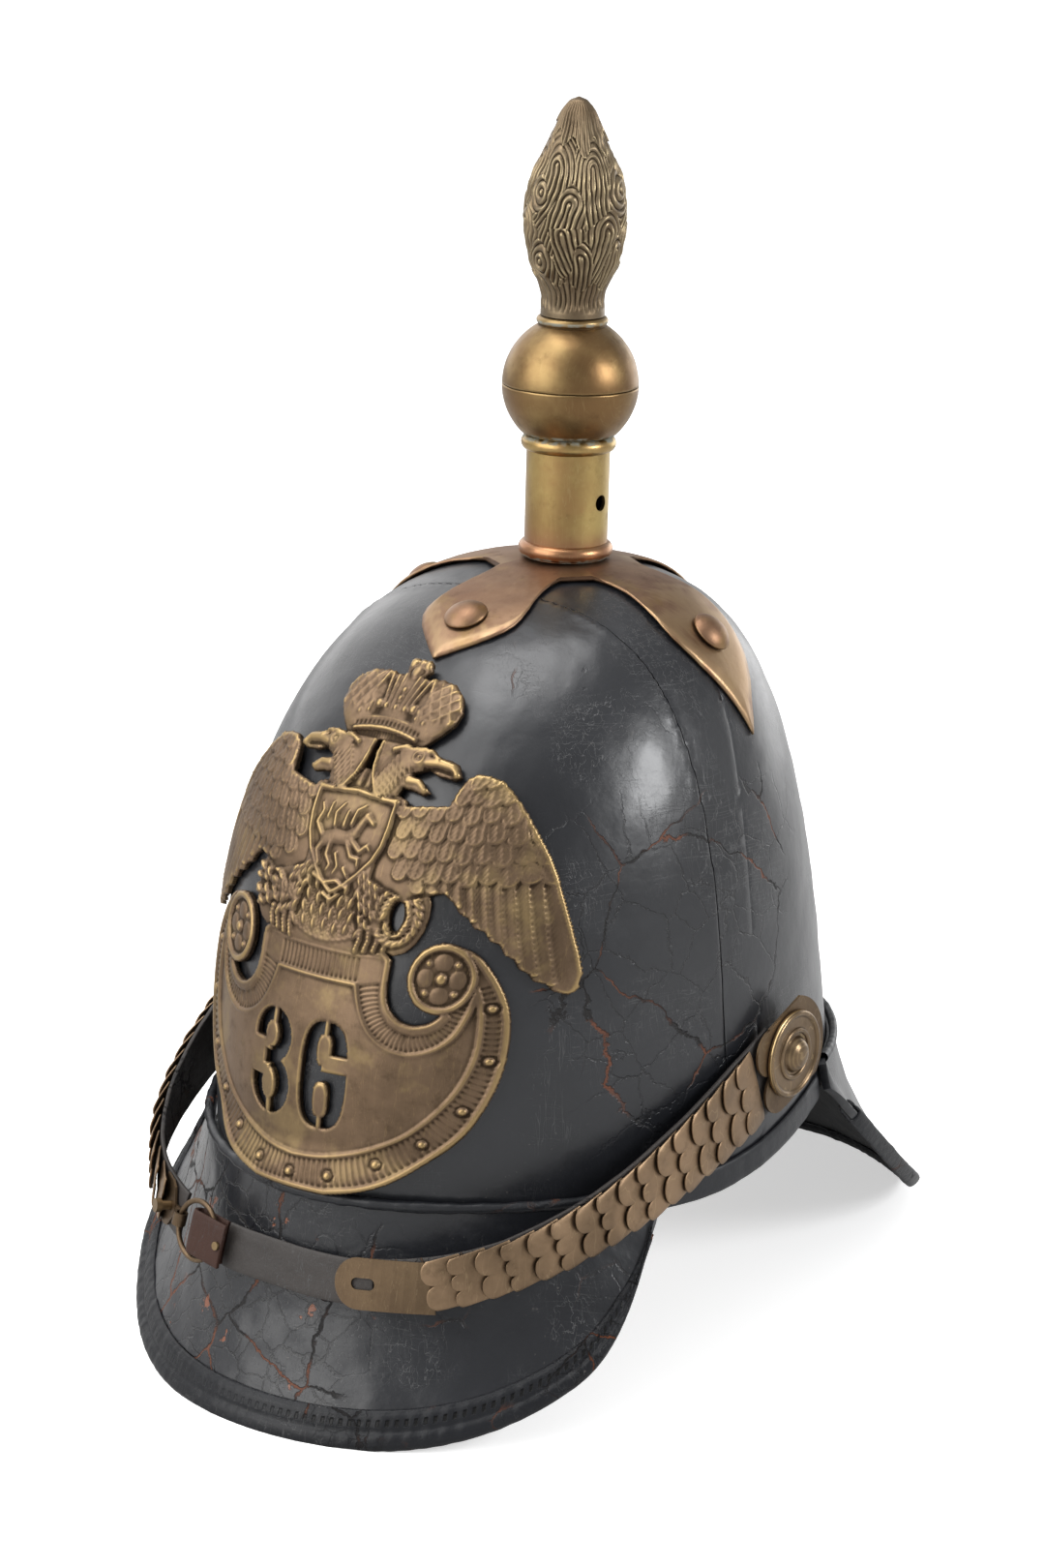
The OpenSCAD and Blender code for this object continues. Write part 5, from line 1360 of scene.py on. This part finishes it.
def on_strap(s, x, y, z):
    """Points at (x along, y across, z out) of the strap's frame at the distance s."""
    t, w, n = strap_axes(s)
    return along(s) + x[..., None] * t + y[..., None] * w + z[..., None] * n


def strap_band(name, node, start, end, width, side=1, steps=160):
    """A band of leather from start to end, as wide as width(s), its edges a little curled."""
    def surface(u, v):
        s = mix(start, end, u)
        q = (v - 0.5) * width(s)
        sag = 0.12 * waves(stack(s, q * 2, 0 * s), 15, 51, 2) - 0.25 * np.abs(2 * v - 1) ** 6
        return on_strap(s, 0 * s, q, STRAP_T - 0.05 + sag) * (side, 1, 1)
    bm = grid_bmesh(surface, steps, 12, flip=side < 0)
    piece = finish_piece(name, bm, "chin_strap", "strap leather", [node])
    return solid(piece, 1.3, 0.3)


def scale_row(end, side, thickness):
    """The overlapping scales of one side, each with two or three lobes, as one mesh."""
    bm = bmesh.new()
    rise = np.arctan(1.12 / 8.05)
    for k in range(SCALES):
        s = FIRST_SCALE + k * PITCH
        length = min(PITCH + LAP, LEAF_START - s)
        lobes, w = 2 + k % 2, width_at(s + 4)

        def surface(u, v, s=s, length=length, lobes=lobes, w=w, k=k):
            y = (v - 0.5) * w
            r = w / lobes * 0.56
            place = np.where(v >= 0.9999, 0.5, (v * lobes) % 1.0 - 0.5)
            cut = r - np.sqrt(np.maximum(r * r - (place * w / lobes) ** 2, 0.0))
            notch = 0.55 * bell(np.abs(place) - 0.5, 0.05) * ((v > 0.02) & (v < 0.98))
            x = mix(cut + notch, length, u ** 1.25)
            z = 0.5 + 0.28 * np.sin(np.clip(u * 2.4, 0, 1) * np.pi / 2)
            z -= 0.14 * (2 * np.abs(place)) ** 3 * (1 - u) ** 3 + 0.5 * np.abs(2 * v - 1) ** 8
            z += 0.05 * waves(stack(x, y, 7.0 * k + 0 * x), 9, 4, 2)
            back = x - length
            x, z = back * np.cos(rise) + z * np.sin(rise), z * np.cos(rise) - back * np.sin(rise)
            return on_strap(s + length, x, y, z + STRAP_T + 0.1) * (side, 1, 1)
        join(bm, grid_bmesh(surface, 10, 20 * lobes, flip=side < 0))
    piece = finish_piece(end + "_scale_row", bm, "chin_strap", "scale brass",
                         [end + "_scales"])
    return solid(wear(piece, 2, 3.0), thickness, 0.12)


FOLD_START, FOLD_END, RING_ROOM = -31.0, -20.65, 2.7


def strap_fold():
    """The strap's fold round the ring, its outer half turned back and riveted."""
    place, half, core = (FOLD_START + FOLD_END) / 2, (FOLD_END - FOLD_START) / 2, STRAP_T / 2
    outer = (2 * STRAP_T + RING_ROOM) / 2
    path = [(half + 3.2, 2 * outer - core), (-half, 2 * outer - core)]
    path += [(-half - (outer - core) * np.sin(a), outer + (outer - core) * np.cos(a))
             for a in np.linspace(0.3, 2.9, 9)]
    path = np.array(path + [(-half, core), (half, core)])
    run = path_run(path)

    def surface(u, v):
        x, z = (np.interp(u * run[-1], run, path[:, k]) for k in (0, 1))
        return on_strap(place, x, (0.5 - v) * (STRAP_W - 0.2), z - 0.3 * np.abs(2 * v - 1) ** 6)
    bm = grid_bmesh(surface, 60, 12)
    bmesh.ops.recalc_face_normals(bm, faces=bm.faces)
    piece = finish_piece("strap_fold", bm, "chin_strap", "fold leather")
    return solid(piece, 1.25, 0.25, offset=0)


ROSETTE = [(0.01, 0.0), (13.6, 0.0), (13.75, 0.35), (13.75, 1.0), (13.4, 1.6), (12.8, 1.8),
           (12.2, 1.6), (11.8, 1.1), (11.5, 0.95), (8.6, 0.9), (8.2, 1.1), (7.9, 1.55), (7.5, 1.75),
           (7.1, 1.55), (6.8, 1.1), (6.4, 0.95), (5.7, 0.95), (5.5, 1.3), (5.1, 2.2), (4.3, 3.2),
           (3.2, 3.95), (1.8, 4.35), (0.6, 4.45), (0.01, 4.46)]
ROSETTE_LIFT = 3.7


def rosette(end, side):
    flip = np.array([side, 1, 1])
    axes = np.array(strap_axes(LOOP_L))
    centre = (along(LOOP_L) + ROSETTE_LIFT * axes[2]) * flip
    turned(end + "_rosette_disc", ROSETTE, centre, axes * flip, "helmet", "rosette brass", steps=112,
           rows=120, gain=5.0)


# Liner

LINER_T, GATHER_R, LACE_R, LACE_T = 1.1, 26.75, 24.3, 0.85


def sweatband():
    def surface(u, v):
        a = u * TAU
        low = rim(skull_point(a, 0 * a)[:, 1]) + 9.2
        p = skull_point(a, level(mix(low, SWEATBAND_TOP, v)), -3.9)
        return p - skin_normal(p) * (0.25 + 0.25 * waves(p, 20, 61, 2))[:, None]
    bm = grid_bmesh(surface, 240, 20, loop=True)
    piece = finish_piece("sweatband_leather", bm, "helmet", "liner leather",
                         ["sweatband"])
    return solid(piece, LINER_T, 0.3)


def tongues():
    bm = bmesh.new()
    for k in range(TONGUES):
        def surface(u, v, k=k):
            half = (180 / TONGUES - 2) * (1 - 0.45 * v)
            a = np.radians(360 * k / TONGUES + mix(-half, half, u))
            z = mix(TONGUE_FOOT, GATHER_Z, v)
            p = skull_point(a, level(z), -5.6)
            p = mix(p, stack(GATHER_R * np.cos(a), GATHER_R * np.sin(a), z), (v ** 2.4)[:, None])
            inward = unit(stack(-p[:, 0], -p[:, 1], 0 * z))
            sway = 0.5 * waves(p, 26, 62 + k, 2) * ease(v * 4) * ease((1 - v) * 6)
            return p + inward * sway[:, None]
        join(bm, grid_bmesh(surface, 14, 40))
    piece = finish_piece("liner_tongue_leather", bm, "helmet", "liner leather",
                         ["liner_tongues"])
    return solid(piece, LINER_T, 0.3)


def lace():
    def surface(u, v):
        a, t = u * TAU, v * TAU
        r = LACE_R + LACE_T * np.cos(t)
        return stack(r * np.cos(a), r * np.sin(a), GATHER_Z + LACE_T * np.sin(t))
    bm = grid_bmesh(surface, 120, 12, loop=True)
    return finish_piece("gathering_lace", bm, "helmet", "liner leather", ["liner_lace"])


# Settings, operators and panel

class HelmetSettings(bpy.types.PropertyGroup):
    plate_cell: bpy.props.FloatProperty(
        name="Plate detail", description="Cell of the front plate's height field",
        default=0.00036, min=0.0003, max=0.002, unit="LENGTH")
    plate_relief: bpy.props.FloatProperty(
        name="Plate relief", description="Scale of the plate's stamped relief",
        default=1.0, min=0.2, max=1.5)
    skull_leather: bpy.props.FloatProperty(
        name="Skull leather", description="Thickness of the skull's leather",
        default=0.003, min=0.001, max=0.005, unit="LENGTH")
    visor_leather: bpy.props.FloatProperty(
        name="Visor leather", description="Thickness of the visors' leather",
        default=0.0026, min=0.001, max=0.004, unit="LENGTH")
    binding_width: bpy.props.FloatProperty(
        name="Binding width", description="Width of the binding on the visors",
        default=0.0105, min=0.006, max=0.014, unit="LENGTH")
    flame_groove: bpy.props.FloatProperty(
        name="Flame grooves", description="Depth of the flame's chased strands",
        default=0.0009, min=0.0, max=0.0012, unit="LENGTH")
    scale_sheet: bpy.props.FloatProperty(
        name="Scale sheet", description="Thickness of the strap's brass scales",
        default=0.0005, min=0.0003, max=0.0008, unit="LENGTH")
    leather: bpy.props.FloatVectorProperty(
        name="Leather", description="Colour of the lacquered leather",
        default=(0.0085, 0.0092, 0.0115), subtype="COLOR", min=0, max=1)
    rust: bpy.props.FloatVectorProperty(
        name="Cracks", description="Colour of the leather under the lacquer",
        default=(0.1, 0.033, 0.015), subtype="COLOR", min=0, max=1)
    plate: bpy.props.FloatVectorProperty(
        name="Plate", description="Colour of the plate's aged brass",
        default=(0.185, 0.125, 0.08), subtype="COLOR", min=0, max=1)
    bright: bpy.props.FloatVectorProperty(
        name="Bare brass", description="Colour of the brass on worn ridges",
        default=(0.36, 0.25, 0.115), subtype="COLOR", min=0, max=1)
    tan: bpy.props.FloatVectorProperty(
        name="Scales", description="Colour of the chin scales",
        default=(0.28, 0.19, 0.117), subtype="COLOR", min=0, max=1)


class HelmetStep:
    bl_options = {"REGISTER", "UNDO"}

    @property
    def sizes(self):
        return bpy.context.scene.helmet_settings


class OBJECT_OT_helmet_materials(HelmetStep, bpy.types.Operator):
    """Makes the materials that all pieces share"""
    bl_idname = "object.helmet_materials"
    bl_label = "Materials"

    def execute(self, context):
        s = self.sizes
        leather_material(
            "skull leather", s.leather, s.rust, cracks=(19, 0.3), rough=(0.28, 0.42), lumps=0.6,
            middle_of=((0.085, -0.06, 0.14), 0.03, 0.09), dust=0.9)
        leather_material(
            "front visor leather", s.leather, s.rust, cracks=(36, 0.55), rough=(0.25, 0.42), coat=0.3,
            grain=0.3, middle_of=((-0.06, -0.12, 0.025), 0.05, 0.12), width=0.00045, lumps=1.1,
            specular=0.36, dust=0.8, chips=1.0)
        leather_material(
            "rear visor leather", s.leather, s.rust, cracks=(30, 0.5), rough=(0.3, 0.5), coat=0.2)
        leather_material(
            "binding leather", rgb(s.leather, 0.8), s.rust, cracks=(60, 0.6), rough=(0.34, 0.5),
            grain=0.8, coat=0.05, stitches=104.0, lumps=1.3, specular=0.2, dust=0.7)
        leather_material(
            "rim leather", s.leather, s.rust, cracks=(60, 0.4), rough=(0.35, 0.55), grain=0.5, coat=0.1,
            lumps=1.0, specular=0.32, dust=0.6)
        brass_material(
            "plate brass", s.plate, s.bright, rgb(s.plate, 0.62), rough=(0.42, 0.56),
            relief=(0.3, 1.15), gold=(0.27, 0.195, 0.095))
        brass_material(
            "petal brass", (0.27, 0.172, 0.108), (0.36, 0.25, 0.14), (0.18, 0.1, 0.06),
            rough=(0.4, 0.54), relief=(0.5, 1.3), gold=(0.27, 0.18, 0.075), blotch=1.1)
        brass_material(
            "tube brass", (0.42, 0.31, 0.12), (0.55, 0.44, 0.22), (0.29, 0.185, 0.075),
            rough=(0.26, 0.4), gold=(0.34, 0.2, 0.085), residue=((0.2787, 0.0012), (0.2412, 0.001)),
            stain=(0.2425, 0.2535, (0.3, 0.145, 0.08)))
        brass_material(
            "ball brass", (0.27, 0.185, 0.08), (0.36, 0.26, 0.12), (0.17, 0.1, 0.045),
            rough=(0.34, 0.46), relief=(0.6, 1.4), residue=((0.2797, 0.0009), (0.3142, 0.0007)))
        brass_material(
            "flame brass", (0.19, 0.148, 0.095), (0.34, 0.27, 0.16), (0.14, 0.1, 0.062),
            rough=(0.38, 0.5), relief=(0.15, 0.9), hollows=0.95)
        brass_material(
            "scale brass", s.tan, (0.55, 0.42, 0.24), rgb(s.tan, 0.6), rough=(0.38, 0.52), blotch=0.9,
            relief=(0.25, 0.8))
        brass_material(
            "end brass", (0.145, 0.1, 0.06), (0.33, 0.25, 0.15), (0.1, 0.068, 0.043),
            rough=(0.42, 0.54), relief=None, blotch=0.6)
        brass_material(
            "rosette brass", (0.2, 0.14, 0.085), (0.68, 0.5, 0.25), (0.13, 0.09, 0.055),
            rough=(0.28, 0.42), relief=(0.05, 0.5))
        brass_material("plain brass", (0.26, 0.19, 0.1), s.bright, (0.17, 0.11, 0.06), relief=None)
        steel_material()
        leather_material(
            "strap leather", (0.024, 0.02, 0.018), (0.06, 0.035, 0.02), cracks=(90, 0.35),
            rough=(0.5, 0.7), grain=0.8, coat=0.0)
        leather_material(
            "fold leather", (0.034, 0.014, 0.009), (0.1, 0.035, 0.02), cracks=(90, 0.2),
            rough=(0.55, 0.75), grain=0.6, coat=0.0, specular=0.25)
        leather_material(
            "liner leather", (0.2, 0.115, 0.06), (0.12, 0.06, 0.03), cracks=(50, 0.35),
            rough=(0.5, 0.72), grain=0.7, coat=0.0)
        return {"FINISHED"}


class OBJECT_OT_helmet_skull(HelmetStep, bpy.types.Operator):
    """Adds the two halves of the leather skull, butted at the crown seam"""
    bl_idname = "object.helmet_skull"
    bl_label = "Skull"

    def execute(self, context):
        for end, way in (("front", 1), ("rear", -1)):
            skull_half(end, way, self.sizes.skull_leather * 1000)
        return {"FINISHED"}


class OBJECT_OT_helmet_visors(HelmetStep, bpy.types.Operator):
    """Adds both visors with their bindings, the stitched flange and the rim strips"""
    bl_idname = "object.helmet_visors"
    bl_label = "Visors"

    def execute(self, context):
        for end in ("front", "rear"):
            visor(end, self.sizes.visor_leather * 1000)
        for end in ("front", "rear"):
            brim_binding(end, self.sizes.binding_width * 1000)
        for end, radius in (("front", 1.5), ("rear", 1.4)):
            flange_roll(end, radius)
        rim_strip()
        return {"FINISHED"}


class OBJECT_OT_helmet_plate(HelmetStep, bpy.types.Operator):
    """Adds the stamped eagle plate with its stencilled number"""
    bl_idname = "object.helmet_plate"
    bl_label = "Front plate"

    def execute(self, context):
        front_plate(self.sizes.plate_relief, self.sizes.plate_cell * 1000)
        return {"FINISHED"}


class OBJECT_OT_helmet_petals(HelmetStep, bpy.types.Operator):
    """Adds the petal base and its four domed rivets"""
    bl_idname = "object.helmet_petals"
    bl_label = "Petal base"

    def execute(self, context):
        petal_base(PETAL_SHEET)
        petal_rivets()
        return {"FINISHED"}


class OBJECT_OT_helmet_finial(HelmetStep, bpy.types.Operator):
    """Adds the chased flame and the turned ball of the finial"""
    bl_idname = "object.helmet_finial"
    bl_label = "Finial"

    def execute(self, context):
        flame(self.sizes.flame_groove * 1000)
        ball()
        return {"FINISHED"}


class OBJECT_OT_helmet_strap(HelmetStep, bpy.types.Operator):
    """Adds the chin strap's leather and its two rows of scales"""
    bl_idname = "object.helmet_strap"
    bl_label = "Chin strap"

    def execute(self, context):
        for end, side in SIDES:
            scale_row(end, side, self.sizes.scale_sheet * 1000)
            strap_band(end + "_backing_leather", end + "_scale_backing", BACKING_START[end],
                       BACKING_END, lambda s: width_at(s) - 0.1, side)
        strap_band("front_strap_leather", "leather_strap", STRAP_START, STRAP_END, lambda s: STRAP_W,
                   steps=80)
        strap_fold()
        return {"FINISHED"}


class OBJECT_OT_helmet_rosettes(HelmetStep, bpy.types.Operator):
    """Adds the turned rosettes over the strap's pivots"""
    bl_idname = "object.helmet_rosettes"
    bl_label = "Rosettes"

    def execute(self, context):
        for end, side in SIDES:
            rosette(end, side)
        return {"FINISHED"}


class OBJECT_OT_helmet_liner(HelmetStep, bpy.types.Operator):
    """Adds the sweatband, the tongues and the lace that gathers them"""
    bl_idname = "object.helmet_liner"
    bl_label = "Liner"

    def execute(self, context):
        sweatband()
        tongues()
        lace()
        return {"FINISHED"}


CARRIED = {
    "plain brass": ("plate_screws", "end_plate_stud", "strap_rivet"),
    "steel": ("plate_nuts", "petal_nuts", "socket_bolt", "socket_washer", "socket_nut", "finial_rod",
              "rosette_nuts"),
    "tube brass": ("socket_tube", "finial_spigot"),
    "rosette brass": ("left_rosette", "right_rosette"),
    "end brass": ("left_leaf_plate", "right_leaf_plate", "left_end_plate", "right_end_plate",
                  "strap_ring"),
}


class OBJECT_OT_helmet_carried(HelmetStep, bpy.types.Operator):
    """Gives the CAD pieces that stay in view their procedural materials"""
    bl_idname = "object.helmet_carried"
    bl_label = "Metal fittings"

    def execute(self, context):
        for name, nodes in CARRIED.items():
            for node in nodes:
                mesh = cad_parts[node].data
                mesh.materials.clear()
                mesh.materials.append(bpy.data.materials[name])
        return {"FINISHED"}


# Stage

LIGHTS = (
    # name, place, target, size, power, colour
    ("window", (1.35, 0.3, 0.82), (0.067, -0.05, 0.19), (0.42, 0.5), 14, (0.98, 0.99, 1)),
    ("key", (-0.6, -1.6, 0.9), (0, 0, 0.18), (1.8, 1.3), 24, (1, 0.99, 0.97)),
    ("left", (-1.5, 0.45, 0.85), (-0.03, -0.05, 0.2), (1.5, 1.3), 8, (1, 0.99, 0.98)),
    ("back", (0.05, 1.7, 0.3), (0.05, 0, 0.18), (1.1, 0.9), 7, (1, 1, 1)),
    ("top", (-0.2, -0.1, 1.5), (0, 0, 0.2), (0.7, 0.7), 9, (1, 1, 1)),
)
SUN_WAY = (0.45, 0.55, -1.0)
# The camera fitted to the photograph, in millimetres before the real size was set
CAMERA_TURN, CAMERA_RISE, CAMERA_ROLL = 36.0, 15.973, 1.596
CAMERA_AIM, CAMERA_SHIFT, CAMERA_REACH = (0, 0, 200.0), -11.672, 1267.4
CAMERA_FOCUS, PICTURE_H, SENSOR = 4000, 1620, 36
RIM_OFFSET, REAL_SIZE = (0, 0, 29), 0.97


def add_object(name, data, **values):
    made = bpy.data.objects.new(name, data)
    bpy.context.scene.collection.objects.link(made)
    for key, value in values.items():
        setattr(made, key, value)
    return made


def facing(way):
    """The rotation that turns a light's beam towards a direction."""
    return Vector(way).to_track_quat("-Z", "Y").to_euler()


def is_camera_ray(tree):
    return Value(tree, tree.nodes.new("ShaderNodeLightPath").outputs["Is Camera Ray"])


def add_floor():
    bm = bmesh.new()
    bmesh.ops.create_grid(bm, x_segments=1, y_segments=1, size=40)
    mesh = bpy.data.meshes.new("studio_floor")
    bm.to_mesh(mesh)
    bm.free()
    m = Material("floor white")
    seen = is_camera_ray(m.tree)
    m.set(Base_Color=seen.blend(rgb((0.5, 0.5, 0.5)), rgb((0.8, 0.8, 0.8))), Roughness=0.9,
          Specular_IOR_Level=0.1, Emission_Strength=0.55,
          Emission_Color=seen.blend(rgb((0.1, 0.1, 0.1)), rgb((1, 1, 1))))
    mesh.materials.append(m.data)
    add_object("studio_floor", mesh)


def add_world():
    """A grey studio for the reflections, which the camera sees as white."""
    world = bpy.data.worlds.new("studio")
    bpy.context.scene.world = world
    world.use_nodes = True
    tree = world.node_tree
    background = tree.nodes["Background"]
    place = Value(tree, tree.nodes.new("ShaderNodeTexCoord").outputs["Generated"])
    horizon = 1 - abs(place.part("Z")).step(0.05, 0.5)
    side = place.part("X").step(-0.9, 0.9)
    high = place.part("Z").step(0.55, 0.95)
    glow = 0.5 + 0.35 * horizon + 0.3 * high - 0.12 * side
    tree.links.new(glow.math("MAXIMUM", glow, is_camera_ray(tree)).socket, background.inputs["Strength"])
    background.inputs["Color"].default_value = (1, 1, 1, 1)


def add_lights():
    for name, place, target, size, power, colour in LIGHTS:
        data = bpy.data.lights.new(name, "AREA")
        data.shape = "RECTANGLE"
        data.size, data.size_y = size
        data.energy, data.color, data.spread = power, colour, 3.14
        way = Vector(target) - Vector(place)
        add_object(name, data, location=place, visible_camera=False,
                            rotation_euler=facing(way))
    sun = bpy.data.lights.new("sun", "SUN")
    sun.energy, sun.angle = 1.35, 0.9
    add_object("sun", sun, rotation_euler=facing(SUN_WAY))


def add_camera():
    turn, rise, roll = np.radians((CAMERA_TURN, CAMERA_RISE, CAMERA_ROLL))
    back = np.array([np.sin(turn) * np.cos(rise), -np.cos(turn) * np.cos(rise), np.sin(rise)])
    right = np.array([np.cos(turn), np.sin(turn), 0.0])
    up = np.cross(back, right)
    eye = np.array(CAMERA_AIM) + right * CAMERA_SHIFT + back * CAMERA_REACH
    eye = to_row((eye - RIM_OFFSET) * REAL_SIZE)
    x_axis = np.cos(roll) * right + np.sin(roll) * up
    y_axis = -np.sin(roll) * right + np.cos(roll) * up
    camera = bpy.data.cameras.new("camera")
    camera.lens = CAMERA_FOCUS / PICTURE_H * SENSOR
    camera.clip_end = 100
    matrix = np.eye(4)
    matrix[:3] = np.stack([x_axis, y_axis, back, eye], axis=1)
    bpy.context.scene.camera = add_object("camera", camera, matrix_world=Matrix(matrix.tolist()))


class OBJECT_OT_helmet_stage(HelmetStep, bpy.types.Operator):
    """Adds the floor, the lights and the camera"""
    bl_idname = "object.helmet_stage"
    bl_label = "Stage"

    def execute(self, context):
        add_floor()
        add_world()
        add_lights()
        add_camera()
        context.scene.view_settings.view_transform = "Standard"
        return {"FINISHED"}


class VIEW3D_PT_helmet(bpy.types.Panel):
    """Sizes, colours and the steps that add the helmet's pieces"""
    bl_idname = "VIEW3D_PT_helmet"
    bl_label = "Spiked helmet"
    bl_space_type = "VIEW_3D"
    bl_region_type = "UI"
    bl_category = "Helmet"

    def draw(self, context):
        settings = context.scene.helmet_settings
        for name in HelmetSettings.__annotations__:
            self.layout.prop(settings, name)
        for step in STEPS:
            self.layout.operator(step.bl_idname)


STEPS = (OBJECT_OT_helmet_materials, OBJECT_OT_helmet_skull, OBJECT_OT_helmet_visors,
         OBJECT_OT_helmet_plate, OBJECT_OT_helmet_petals, OBJECT_OT_helmet_finial,
         OBJECT_OT_helmet_strap, OBJECT_OT_helmet_rosettes, OBJECT_OT_helmet_liner,
         OBJECT_OT_helmet_carried, OBJECT_OT_helmet_stage)
CLASSES = (HelmetSettings,) + STEPS + (VIEW3D_PT_helmet,)


def register():
    for cls in CLASSES:
        bpy.utils.register_class(cls)
    bpy.types.Scene.helmet_settings = bpy.props.PointerProperty(type=HelmetSettings)


def unregister():
    del bpy.types.Scene.helmet_settings
    for cls in reversed(CLASSES):
        bpy.utils.unregister_class(cls)


def main():
    register()
    for step in STEPS:
        group, name = step.bl_idname.split(".")
        getattr(getattr(bpy.ops, group), name)()


if __name__ == "__main__":
    main()
